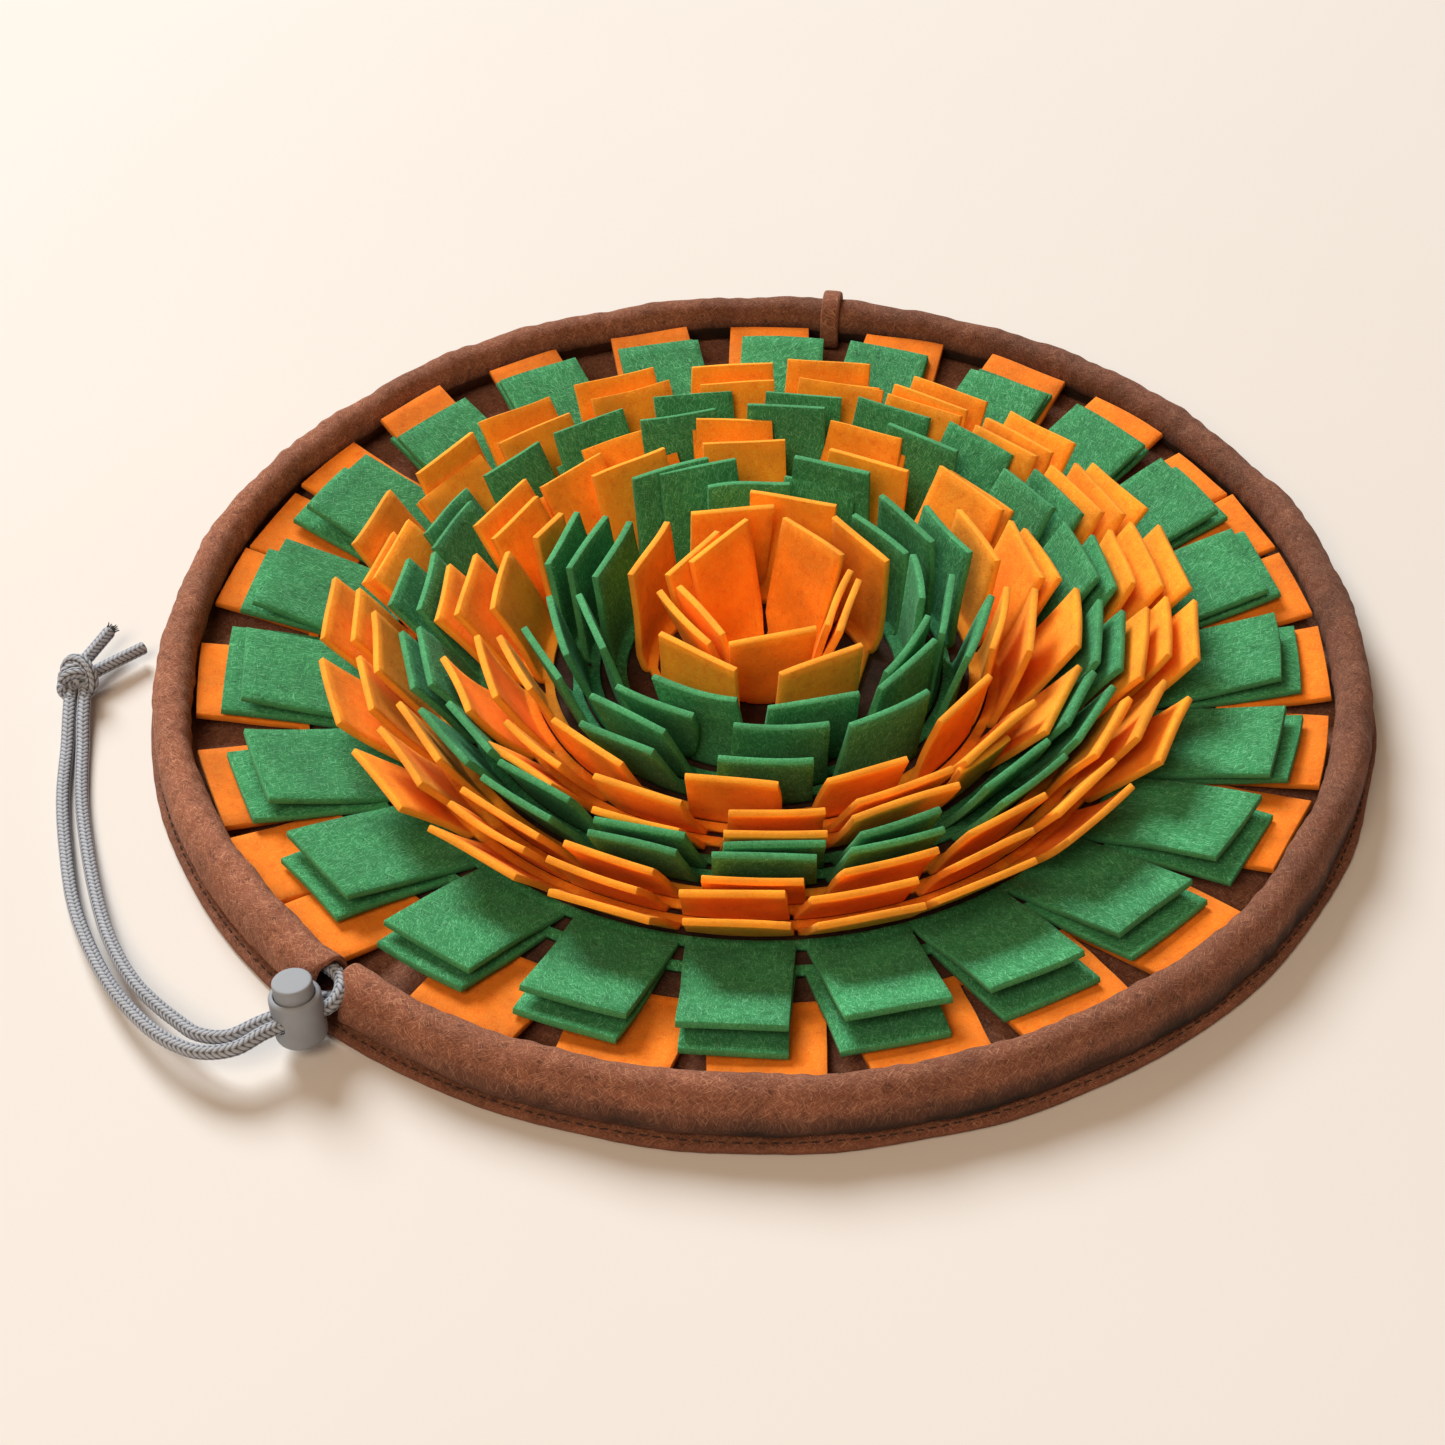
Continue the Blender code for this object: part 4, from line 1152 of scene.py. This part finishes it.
def casing_tone_and_shade(rng, shares, facing, cosine, sine):
    """Casing tone ring by ring: uneven at random, with painted light towards the lamps and painted shade low
    down.
    """
    uneven = np.interp(shares, np.linspace(0, 1, 60), rng.normal(0, 0.05, 60))
    # Painted light: the casing is lighter where it faces azimuth -160, towards the lamps
    sidelight = 0.30 * np.cos(np.radians(facing + 160)) - 0.06
    tone = np.repeat(uneven, CASING_SIDES) + np.repeat(sidelight, CASING_SIDES)
    # Painted shade on the lower part of the section: outside, deeper the further a ring faces from the lamps,
    # and inside
    under = np.array([smoothstep((0.38 - one) / 0.7) for one in sine])
    turned_from_light = np.array([0.15 + smoothstep((abs((one + 340) % 360 - 180) - 12) / 50) for one in facing])
    tone += np.outer(turned_from_light, -0.72 * under * np.clip(2 * cosine, 0, 1)).ravel()
    tone += np.tile(-0.70 * under * np.clip(-2 * cosine, 0, 1), len(facing))
    return tone


def make_casing(mats):
    """Felt tube with a wall, closed round its two mouths and a little uneven along its length."""
    rng = np.random.default_rng(CASING_SEED)
    half = math.degrees(CASING_GAP / 2 / CASING_CENTRE)
    start = math.radians(GAP_AZIMUTH + half)
    length = math.radians(360 - 2 * half) * CASING_CENTRE
    lip = CASING_FELT / 2
    near = np.array(CASING_MOUTH_RINGS) * lip
    between = np.linspace(lip, length - lip, CASING_RINGS - 2 * len(near) + 2)[1:-1]
    along = np.concatenate([near, between, length - near[::-1]])
    count, around = CASING_RINGS, CASING_SIDES
    shares = along / length
    edge = np.minimum(along, length - along)
    inset = lip * (1 - np.sqrt(np.clip(1 - (1 - np.clip(edge / lip, 0, 1)) ** 2, 0, 1)))
    turns = np.arange(around) / around * 360.0
    cosine, sine = np.cos(np.radians(turns)), np.sin(np.radians(turns))
    power = np.where((cosine > 0) & (sine < 0), CASING_FOOT_SQUARENESS, CASING_SQUARENESS)
    power = np.where((cosine < 0) & (sine < 0), CASING_INNER_FOOT, power)
    across = np.sign(cosine) * np.abs(cosine) ** power
    rise = np.sign(sine) * np.abs(sine) ** power
    swell = np.clip(cosine, 0, 1) ** 0.5 * np.clip(0.9 - sine, 0, 1)
    left_end = np.array([smoothstep((turn - 42) / 36) * (1 - smoothstep((turn - 215) / 35)) for turn in turns])
    right_end = np.interp(
        (turns + 90) % 360 - 90, (-90, -42, -18, 4, 16, 42, 60, 78, 270), (1, 1, 0.6, 0.6, 0, 0, 0.5, 1, 1),
    )
    from_right = np.clip(1 - along / CASING_END_REACH, 0, 1) ** 1.5
    from_left = np.clip(1 - (length - along) / CASING_END_REACH, 0, 1) ** 1.5
    reach = LEFT_END_REACH * np.outer(from_left, left_end) - RIGHT_END_REACH * np.outer(from_right, right_end)
    flat = np.clip((-rise - 0.72) / 0.2, 0, 1)
    bumps = casing_bumps(rng, shares, turns) * (1 - flat)[None, :]
    azimuth = start + (along[:, None] + reach) / CASING_CENTRE
    mouth = CASING_FLARE * np.clip(1 - edge / CASING_FLARE_REACH, 0, 1) ** 2
    swells = np.array([casing_swell(math.degrees(start + one / CASING_CENTRE)) for one in along])

    def layer(grow):
        wide = CASING_WIDTH / 2 + grow + bumps + mouth[:, None]
        tall = CASING_HEIGHT / 2 + grow + bumps + mouth[:, None]
        radius = CASING_CENTRE + wide * across[None, :] + swells[:, None] * swell[None, :]
        height = CASING_MIDDLE + tall * rise[None, :]
        height = np.maximum(height, FELT + 0.0001 - np.minimum(grow, 0))
        return np.stack([radius * np.cos(azimuth), radius * np.sin(azimuth), height], axis=2)

    outer = layer(-inset[:, None]).reshape(-1, 3)
    inner = layer(-CASING_FELT + inset[:, None]).reshape(-1, 3)
    points = np.vstack([outer, inner])
    girth = 2 * math.pi * (CASING_WIDTH + CASING_HEIGHT) / 4 / MM
    inner_uv = 70
    size = count * around
    last = size - around
    faces, uv = [], []
    for index in range(count - 1):
        a0, a1 = along[index] / MM, along[index + 1] / MM
        for spoke in range(around):
            b0, b1 = spoke / around * girth, (spoke + 1) / around * girth
            low, high = index * around, (index + 1) * around
            faces.append(flipped(ring_quad(low, high, spoke, around)))
            uv.extend(flipped(quad_uv(a0, a1, b0, b1)))
            faces.append(ring_quad(size + low, size + high, spoke, around))
            uv.extend(quad_uv(a0, a1, b0 + inner_uv, b1 + inner_uv))
    for spoke in range(around):
        b0, b1 = spoke / around * girth, (spoke + 1) / around * girth
        faces.append(ring_quad(0, size, spoke, around))
        uv.extend(quad_uv(0, -2, b0, b1))
        one, two, three, four = ring_quad(last, size + last, spoke, around)
        faces.append((two, one, four, three))
        uv.extend(quad_uv(0, -2, b1, b0))
    cut = np.repeat(np.clip(1 - edge / CASING_CUT, 0, 1), around)
    tone = casing_tone_and_shade(rng, shares, np.degrees(azimuth[:, 0]), cosine, sine)
    # The inner wall takes the casing's tone with painted shade added
    piece = new_mesh(
        "rim_casing_felt", points, faces, mats["brown"], uv,
        (("edge", np.concatenate([cut, cut])), ("tone", np.concatenate([tone, tone + CASING_INSIDE_SHADE]))),
    )
    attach(piece, "mat")
    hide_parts("rim_casing")


def frontness(azimuth):
    """1 along the front of the rim, 0 at its sides and back."""
    azimuth = (azimuth + 180) % 360 - 180
    return smoothstep((azimuth + 158) / 26) * smoothstep((-12 - azimuth) / 36)


def casing_swell(azimuth):
    return CASING_SWELL_BEHIND + (CASING_SWELL - CASING_SWELL_BEHIND) * frontness(azimuth)


def base_edge(azimuth):
    """Radius of the disc's cut edge: it shows as a lip in front and is drawn in elsewhere."""
    return BASE_EDGE_BEHIND + (BASE_EDGE_FRONT - BASE_EDGE_BEHIND) * frontness(azimuth)


def make_base(mats):
    """Felt disc with a cut edge that wanders a little."""
    rng = np.random.default_rng(BASE_SEED)
    around = BASE_SIDES
    turn = np.linspace(0, 2 * np.pi, around, endpoint=False)
    drift = wander(rng, around, range(3, 30), 0.00035) + wander(rng, around, range(60, 180), 0.00006)
    lift = wander(rng, around, range(4, 40), 0.00012)
    rim = BASE_RADII[-1]
    pull = drift + (np.array([base_edge(math.degrees(one)) for one in turn]) - rim)

    def ring_at(radius, height, share=1.0):
        spot = radius + pull * share ** 4
        return np.stack([spot * np.cos(turn), spot * np.sin(turn), height + np.zeros(around)], axis=1)

    upper, lower = [], []
    for radius in BASE_RADII:
        share = np.clip((radius - BASE_FIRM) / BASE_FREE, 0, 1)
        worn = np.clip((radius - BASE_WORN_FROM) / BASE_WORN_WIDTH, 0, 1) ** 2
        upper.append(ring_at(radius, FELT - 0.0009 * worn + lift * share * (1 - share), share))
        lower.append(ring_at(radius, 0.0008 * worn, share))
    levels = [*upper, ring_at(rim + 0.0002, FELT / 2), *lower[::-1]]
    cloud = np.vstack([*levels, [[0, 0, FELT]], [[0, 0, 0]]])
    spread = [*BASE_RADII, rim + 0.0015, *(2 * rim + 0.003 - radius for radius in BASE_RADII[::-1])]
    faces, uv = [], []
    for level in range(len(levels) - 1):
        r0, r1 = spread[level] / MM, spread[level + 1] / MM
        for spoke in range(around):
            faces.append(flipped(ring_quad(level * around, (level + 1) * around, spoke, around)))
            t0, t1 = turn[spoke], turn[spoke] + 2 * math.pi / around
            uv.extend((r * math.cos(t), r * math.sin(t)) for r, t in flipped(quad_uv(r0, r1, t0, t1)))
    top, bottom = len(cloud) - 2, len(cloud) - 1
    last = (len(levels) - 1) * around
    for spoke in range(around):
        after = (spoke + 1) % around
        faces.append((top, spoke, after))
        faces.append((bottom, last + after, last + spoke))
        uv.extend(2 * ((0, 0), (4, 0), (4, 1)))
    edge = np.zeros(len(cloud))
    first = (len(upper) - 2) * around
    edge[first:first + 5 * around] = 0.7
    # Painted shade under and between the flaps: the disc is much darker inside 0.16 m, and a little darker
    # beyond 0.185 m
    tone = np.interp(np.hypot(cloud[:, 0], cloud[:, 1]), (0.160, 0.185), (-0.80, -0.16))
    piece = new_mesh("base_disc_felt", cloud, faces, mats["brown"], uv, (("edge", edge), ("tone", tone)))
    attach(piece, "mat")
    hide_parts("base_disc")
    return piece


def make_stitches(mats):
    """Thread stitches in the groove between the casing and the lip of the base."""
    rng = np.random.default_rng(STITCH_SEED)
    seam = CASING_CENTRE + CASING_WIDTH / 2 + 0.0003
    count = round(2 * math.pi * seam / STITCH_PITCH)
    points, faces, uv = [], [], []
    around, along = STITCH_SIDES, STITCH_RINGS
    for stitch in range(count):
        turn = 360.0 * (stitch + rng.uniform(-0.06, 0.06)) / count
        skew = rng.normal() * 0.00012
        radius = seam + casing_swell(turn)
        base = len(points)
        for step in range(along):
            share = step / (along - 1)
            azimuth = turn + math.degrees((share - 0.5) * STITCH_LENGTH / radius)
            size = THREAD / 2 * math.sqrt(max(0.05, 1 - (2 * share - 1) ** 6))
            height = FELT + 0.00012 - 0.0003 * (2 * share - 1) ** 4
            middle = radius + skew * (share - 0.5) * 2
            for spoke in range(around):
                angle = 2 * math.pi * spoke / around
                radius_here, height_here = middle + size * math.cos(angle), height + size * math.sin(angle)
                points.append(tuple(polar(radius_here, azimuth, height_here)))
        for step in range(along - 1):
            low = base + step * around
            for spoke in range(around):
                faces.append(flipped(ring_quad(low, low + around, spoke, around)))
                s, t = step * 0.5, spoke * 0.3
                uv.extend(flipped(quad_uv(s, s + 0.5, t, t + 0.3)))
        faces.append(tuple(base + spoke for spoke in range(around)))
        faces.append(tuple(base + (along - 1) * around + spoke for spoke in range(around - 1, -1, -1)))
        uv.extend([(0.1 * spoke, 0.1) for spoke in range(2 * around)])
    piece = new_mesh("rim_seam_stitches", points, faces, mats["thread"], uv)
    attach(piece, "mat")


def make_strap(mats):
    """Felt band over the casing, with rounded edges, from the base outside to the base inside."""
    line = [(oval_point(0.0, STRAP_SLACK)[0], FELT + GAP)]
    line += [oval_point(step * 11.25, STRAP_SLACK) for step in range(17)]
    for turn in (191, 202, 212):
        cosine, sine = math.cos(math.radians(turn)), math.sin(math.radians(turn))
        line.append((
            CASING_CENTRE - (CASING_WIDTH / 2 + STRAP_SLACK) * abs(cosine) ** CASING_INNER_FOOT,
            CASING_MIDDLE - (CASING_HEIGHT / 2 + STRAP_SLACK) * abs(sine) ** CASING_SQUARENESS,
        ))
    line = [Vector((r, z, 0)) for r, z in line]
    fine = np.array([list(point)[:2] for point in smooth_line(line, STRAP_STEP)])
    slope = np.gradient(fine, axis=0)
    slope /= np.linalg.norm(slope, axis=1)[:, None]
    normal = np.stack([slope[:, 1], -slope[:, 0]], axis=1)
    wide = STRAP_WIDTH / 2
    section = rounded_box(-wide, wide, 0.0, STRAP_FELT, STRAP_CORNER, 4)
    section[5:5] = [(side * wide * 0.4, STRAP_FELT + 0.0001) for side in (1, -1)]
    around = len(section)
    azimuth = math.radians(STRAP_AZIMUTH)
    out = np.array([math.cos(azimuth), math.sin(azimuth)])
    aside = np.array([-math.sin(azimuth), math.cos(azimuth)])
    points = []
    for (r, z), (nr, nz) in zip(fine, normal):
        for u, v in section:
            radius, height = r + nr * v, z + nz * v
            flat = out * radius + aside * u
            points.append((flat[0], flat[1], height))
    count = len(fine)
    faces, uv = [], []
    for index in range(count - 1):
        a0, a1 = index * 0.8 + 300, index * 0.8 + 300.8
        for spoke in range(around):
            faces.append(ring_quad(index * around, (index + 1) * around, spoke, around))
            uv.extend(quad_uv(a0, a1, spoke * 0.9, spoke * 0.9 + 0.9))
    last = (count - 1) * around
    faces += [tuple(range(around - 1, -1, -1)), tuple(range(last, last + around))]
    end_uv = [(u / MM, v / MM) for u, v in section]
    uv.extend([*end_uv[::-1], *end_uv])
    zero = np.zeros(len(points))
    piece = new_mesh("rim_strap_felt", points, faces, mats["brown"], uv, (("edge", zero), ("tone", zero - 0.05)))
    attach(piece, "mat")
    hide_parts("rim_strap")


# Flap strips

def strip_layout():
    """Root radius of each strip's flaps, as the CAD has them."""
    radii = []
    edge = None
    outside = None
    for _name, _colour, flaps, length, lean, azimuth in STRIPS:
        rise = math.radians(lean)
        reach = STRIP_FELT * math.tan(rise / 2)
        over = (STRIP_FELT / math.cos(rise) + GAP) / math.tan(rise)
        corner = 1.0 if outside == (flaps, azimuth) else math.cos(math.pi / flaps)
        if edge is None:
            root = oval_point(180.0)[0] - RIM_CLEARANCE - length * math.cos(rise)
        else:
            root = edge * corner - max(STRIP_GAP + reach, over)
        radii.append(root)
        edge = root - SEAM_WIDTH
        outside = (flaps, azimuth)
    return radii


def settle(length, lean, azimuth, shift, change):
    """Length and lean that put a flap's tip where the photo shows it: shift mm further out than usual."""
    side, ahead = math.sin(math.radians(azimuth)), math.cos(math.radians(azimuth))
    sink, look = math.sin(ELEVATION), math.cos(ELEVATION)
    lift = look * sink * side / (ahead ** 2 + (side * sink) ** 2)

    def seen(size, rise):
        return size * (math.cos(rise) + lift * math.sin(rise))

    usual = math.radians(lean)
    goal = seen(length, usual) + shift * MM
    size = length + change * MM
    tries = [math.radians(lean + step / 4) for step in range(-64, 65) if lean + step / 4 <= 90]
    rise = min(tries, key=lambda one: abs(seen(size, one) - goal) + 0.002 * abs(one - usual))
    rate = math.cos(rise) + lift * math.sin(rise)
    if abs(rate) > 0.3:
        size += min(0.005, max(-0.005, (goal - seen(size, rise)) / rate))
    return size, math.degrees(rise)


def root_limits(strip, flaps, root):
    """Root angles of each flap, in radians: as wide as its tip where its neighbours leave room."""
    _name, _colour, _count, length, lean, _azimuth = strip
    reach = root + length * math.cos(math.radians(lean))
    wanted = []
    for low, high, *_more in flaps:
        middle = math.radians((low + high) / 2)
        chord = 2 * reach * math.sin(math.radians(high - low) / 2)
        half = math.asin(min(0.9, chord / FLAP_TIP / 2 / root))
        wanted.append((middle, half))
    slit = FLAP_SLIT / root / 2
    limits = []
    for index, (middle, half) in enumerate(wanted):
        before, before_half = wanted[index - 1]
        after, after_half = wanted[(index + 1) % len(wanted)]
        before -= 2 * math.pi if index == 0 else 0
        after += 2 * math.pi if index == len(wanted) - 1 else 0
        low = before + (middle - before) * before_half / (before_half + half) + slit
        high = middle + (after - middle) * half / (after_half + half) - slit
        limits.append((max(middle - half, low), min(middle + half, high)))
    return limits


def centre_plan(strip, root):
    """The flap plan of a centre strip, from the place of each tip in the photo."""
    name, _colour, _count, length, lean, _azimuth = strip
    table = CENTRE_FLAPS[name]
    usual = root + length * math.cos(math.radians(lean))
    rise = CENTRE_TIP_HEIGHT - FELT - GAP - STRIP_FELT / 2
    feet = []
    for _heading, _out, _aside, wide, foot in table:
        span = math.degrees(math.asin(wide * MM / 2 / usual))
        feet.append((foot - span, foot + span))
    plan = []
    for (heading, out, aside, wide, _foot), (low, high) in zip(table, root_limits(strip, feet, root)):
        turn = math.radians(heading)
        around = 2 * math.pi * round((turn - (low + high) / 2) / (2 * math.pi))
        reach = out * MM - root
        size, slope = math.hypot(rise, reach), math.degrees(math.atan2(rise, reach))
        plan.append((turn, low + around, high + around, wide * MM / 2, aside * MM, size, slope))
    return plan


def flap_plan(strip, root):
    """Heading, root angles, half width, sideways shift, length and lean of each flap of a strip."""
    name, _colour, _count, length, lean, _azimuth = strip
    if name in CENTRE_FLAPS:
        return centre_plan(strip, root)
    plan = []
    table = [(*flap, 0, 0)[:4] for flap in FLAPS[name]]
    extra, down = TIP_SHIFTS.get(name, (0.0, 0.0))
    for (left, right, shift, change), (low, high) in zip(table, root_limits(strip, table, root)):
        heading = (left + right) / 2
        size, rise = settle(length, lean, heading, shift, change)
        size, rise = size + extra, rise - down
        wide = (root + size * math.cos(math.radians(rise))) * math.sin(math.radians(right - left) / 2)
        plan.append((math.radians(heading), low, high, wide, 0.0, size, rise))
    return plan


def flap_grid(root, low, high, wide, aside, length, lean, style, rng):
    """Mid-surface of one flap with its foot, as points (rows, columns, 3), and its places laid flat, in mm.

    low and high are its root angles off its own heading, wide is half the width of its tip and aside its shift.
    """
    rise = math.radians(lean + rng.normal() * style["lean"])
    thick, bend, inset = STRIP_FELT, FOLD_RADIUS, EDGE_INSET
    corner_x = root + thick / 2 * math.tan(rise / 2)
    tangent = bend * math.tan(rise / 2)
    reach = length + thick / 2 * math.tan(rise / 2) + rng.normal() * style["length"]
    foot = corner_x - (root - SEAM_WIDTH)
    rows = [-foot, -foot + inset, -(foot + tangent) / 2, -tangent, -tangent / 3, tangent / 3, tangent]
    rows += list(np.linspace(tangent, reach - inset, 11)[1:])
    rows += [reach]
    rows = np.array(rows)
    share = np.concatenate([[-1, -1 + inset / wide], np.linspace(-1, 1, 11)[1:-1], [1 - inset / wide, 1]])
    q, v = np.meshgrid(rows, share, indexing="ij")
    angle = low + (high - low) * (v + 1) / 2
    in_arc = np.clip((q + tangent) / (2 * tangent), 0, 1) * rise
    out = np.where(q > tangent, q * math.cos(rise), np.where(q < -tangent, q, bend * np.sin(in_arc) - tangent))
    z = np.where(q < -tangent, 0.0, np.where(q > tangent, q * math.sin(rise), bend * (1 - np.cos(in_arc))))
    z = z + FELT + GAP + thick / 2
    up = np.clip((q - tangent) / (reach - tangent), 0, 1)
    radial = corner_x + np.minimum(out, 0)
    straight = corner_x * (1 - np.cos(angle)) * style["straight"] * up ** style["flat"]
    x = radial * np.cos(angle) + np.maximum(out, 0) + straight
    y = radial * np.sin(angle)
    y = y + (v * wide + aside - y) * up ** (0.8 * style["flat"])
    for sign in (-1, 1):
        worn = np.zeros_like(q)
        for wave in (1, 2, 3, 5):
            worn += rng.normal() * np.sin(wave * 3.1 * up + rng.uniform(*PHASES)) / wave
        y += np.where(v * sign > 0, sign * worn * FLAP_WEAR * np.abs(v) ** 5 * np.minimum(1, up * 4), 0)
    bow = rng.normal() * style["bow"] + style["sag"]
    curl = rng.normal() * style["curl"] + style["droop"]
    cup = rng.normal() * style["cup"]
    off = bow * 4 * up * (1 - up) + curl * up ** 2 + cup * (v ** 2 - 0.33) * up
    twist = math.radians(rng.normal() * style["twist"]) * up
    off += np.sin(twist) * y
    ripple = np.zeros_like(v)
    for _index in range(4):
        size = rng.normal()
        ripple += size * np.sin(rng.uniform(1, 5) * up + rng.uniform(-2.4, 2.4) * v + rng.uniform(*PHASES))
    off += ripple * style["ripple"] * up
    tip_wave = rng.normal() * TIP_WAVE * np.sin(v * 2.2 + rng.uniform(*PHASES))
    tip_wave += rng.normal() * TIP_SKEW * v * 2
    along = tip_wave * up ** 6
    free = np.clip(up * 3, 0, 1)
    x += math.cos(rise) * along - math.sin(rise) * off * free
    z += math.sin(rise) * along + math.cos(rise) * off * free
    return np.stack([x, y, z], axis=2), np.stack([q / MM, v * wide / MM], axis=2)


def grid_normals(points):
    down = np.gradient(points, axis=0)
    side = np.gradient(points, axis=1)
    normal = np.cross(down, side)
    return normal / np.linalg.norm(normal, axis=2)[:, :, None]


def make_strip(mats, strip, root, seed):
    """One strip of felt: a ring sewn down, cut into flaps that lean outward."""
    name, colour, _count, _length, lean, _azimuth = strip
    rng = np.random.default_rng(STRIP_SEED + seed)
    root += ROOT_SHIFTS.get(name, 0.0)
    plan = flap_plan(strip, root)
    flaps = len(plan)
    style = next(style for limit, style in STYLES if lean < limit)
    sides, flats, laid = [], [], []
    for turn, low, high, wide, aside, size, rise in plan:
        mid, flat = flap_grid(root, low - turn, high - turn, wide, aside, size, rise, style, rng)
        rows, cols = mid.shape[:2]
        deep = np.ones((rows, cols, 1))
        deep[:, (0, -1)] = EDGE_THINNING
        deep[(0, -1), :] = EDGE_THINNING
        offset = grid_normals(mid) * (STRIP_FELT / 2 * deep)
        about = np.array([[math.cos(turn), math.sin(turn), 0], [-math.sin(turn), math.cos(turn), 0], [0, 0, 1]])
        sides += [(mid + offset).reshape(-1, 3) @ about, (mid - offset).reshape(-1, 3) @ about]
        flats.append(flat)
        shift = rng.uniform(-FIBRE_SPREAD, FIBRE_SPREAD, 2)
        spin = rng.normal() * FIBRE_TURN
        shade = rng.normal() * FLAP_SHADE
        laid.append((shift, spin, shade, rng.uniform(-FIBRE_SPREAD, FIBRE_SPREAD, 2)))
    edge = np.zeros((flaps, 2, rows, cols))
    edge[:, :, SEAM_ROWS + 1:, (0, -1)] = 1
    edge[:, :, -1, :] = 1
    tone = np.zeros(edge.shape) + np.array([shade for _shift, _spin, shade, _under in laid])[:, None, None, None]
    # Painted shade on flat strips; painted light on the orange strips that stand up
    tone -= FLAT_SHADE if lean < FLAT_LEAN else 0.0
    painted_light = np.full(edge.shape, 1.0 if colour == "orange" and lean > FLAT_LEAN else 0.0)
    faces, uv = [], []

    def vertex(flap, layer, row, col):
        return ((flap * 2 + layer) * rows + row) * cols + col

    def place(flap, layer, pair):
        """Place in the fibres, which lie another way on each flap and on each of its sides."""
        shift, spin, _shade, under = laid[flap]
        base = under if layer else shift
        cs, sn = math.cos(spin), math.sin(spin)
        return (pair[0] * cs - pair[1] * sn + base[0], pair[0] * sn + pair[1] * cs + base[1])

    thick = STRIP_FELT / MM
    for flap in range(flaps):
        flat = flats[flap]
        for row in range(rows - 1):
            for col in range(cols - 1):
                corners = ((row, col), (row + 1, col), (row + 1, col + 1), (row, col + 1))
                for layer, ordered in enumerate((corners, corners[::-1])):
                    faces.append([vertex(flap, layer, *corner) for corner in ordered])
                    uv.extend(place(flap, layer, flat[corner]) for corner in ordered)
        walls = [((row, 0), (row + 1, 0), (0, -1)) for row in range(SEAM_ROWS, rows - 1)]
        walls += [((rows - 1, col), (rows - 1, col + 1), (1, 0)) for col in range(cols - 1)]
        walls += [((row + 1, cols - 1), (row, cols - 1), (0, 1)) for row in range(SEAM_ROWS, rows - 1)]
        walls += [((0, col + 1), (0, col), (-1, 0)) for col in range(cols - 1)]
        for a, b, out in walls:
            faces.append([vertex(flap, 0, *b), vertex(flap, 0, *a), vertex(flap, 1, *a), vertex(flap, 1, *b)])
            out = np.array(out) * thick
            uv.extend(place(flap, 0, pair) for pair in (flat[b], flat[a], flat[a] + out, flat[b] + out))
        after = (flap + 1) % flaps
        apart = (plan[after][1] - plan[flap][2]) % (2 * math.pi) * root / MM
        for row in range(SEAM_ROWS):
            ring = ((flap, row, -1, 0), (flap, row + 1, -1, 0), (after, row + 1, 0, 1), (after, row, 0, 1))
            for layer, ordered in enumerate((ring, ring[::-1])):
                faces.append([vertex(who, layer, r, c % cols) for who, r, c, _far in ordered])
                uv.extend(place(flap, layer, flat[r, -1] + (0, apart * far)) for _who, r, _c, far in ordered)
        for row, order in ((SEAM_ROWS, 1), (0, -1)):
            a, b = ((flap, row, cols - 1), (after, row, 0))[::order]
            faces.append([vertex(who, layer, r, c) for (who, r, c), layer in ((b, 0), (a, 0), (a, 1), (b, 1))])
            shifts = ((0, apart), (0, 0), (thick, 0), (thick, apart))
            uv.extend(place(flap, 0, flat[row, -1] + shift) for shift in shifts)
    marks = (("edge", edge), ("tone", tone), ("painted_light", painted_light))
    piece = new_mesh(name + "_felt", np.vstack(sides), faces, mats[colour], uv, marks)
    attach(piece, "mat")
    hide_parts(name)


def make_stage():
    size = FLOOR_SIZE
    corners = [(-size, -size, 0), (size, -size, 0), (size, size, 0), (-size, size, 0)]
    floor = mesh_object("floor", corners, [(0, 1, 2, 3)])
    floor.data.materials.append(floor_material())
    world = bpy.data.worlds.new("studio")
    bpy.context.scene.world = world
    world.use_nodes = True
    back = world.node_tree.nodes["Background"]
    back.inputs["Color"].default_value = ROOM_COLOUR
    back.inputs["Strength"].default_value = ROOM_STRENGTH
    for light in LIGHTS:
        area_light(*light)
    bpy.context.scene.view_settings.view_transform = "Standard"
    bpy.context.scene.view_settings.look = "None"


def main():
    make_camera()
    mats = make_materials()
    strands = make_strands(mats)
    knot = make_knot(mats)
    make_rim_cord(mats)
    barrel, plunger, spring = make_lock(mats)
    make_casing(mats)
    base = make_base(mats)
    make_stitches(mats)
    make_strap(mats)
    for seed, (strip, root) in enumerate(zip(STRIPS, strip_layout())):
        make_strip(mats, strip, root, seed)
    make_stage()


main()
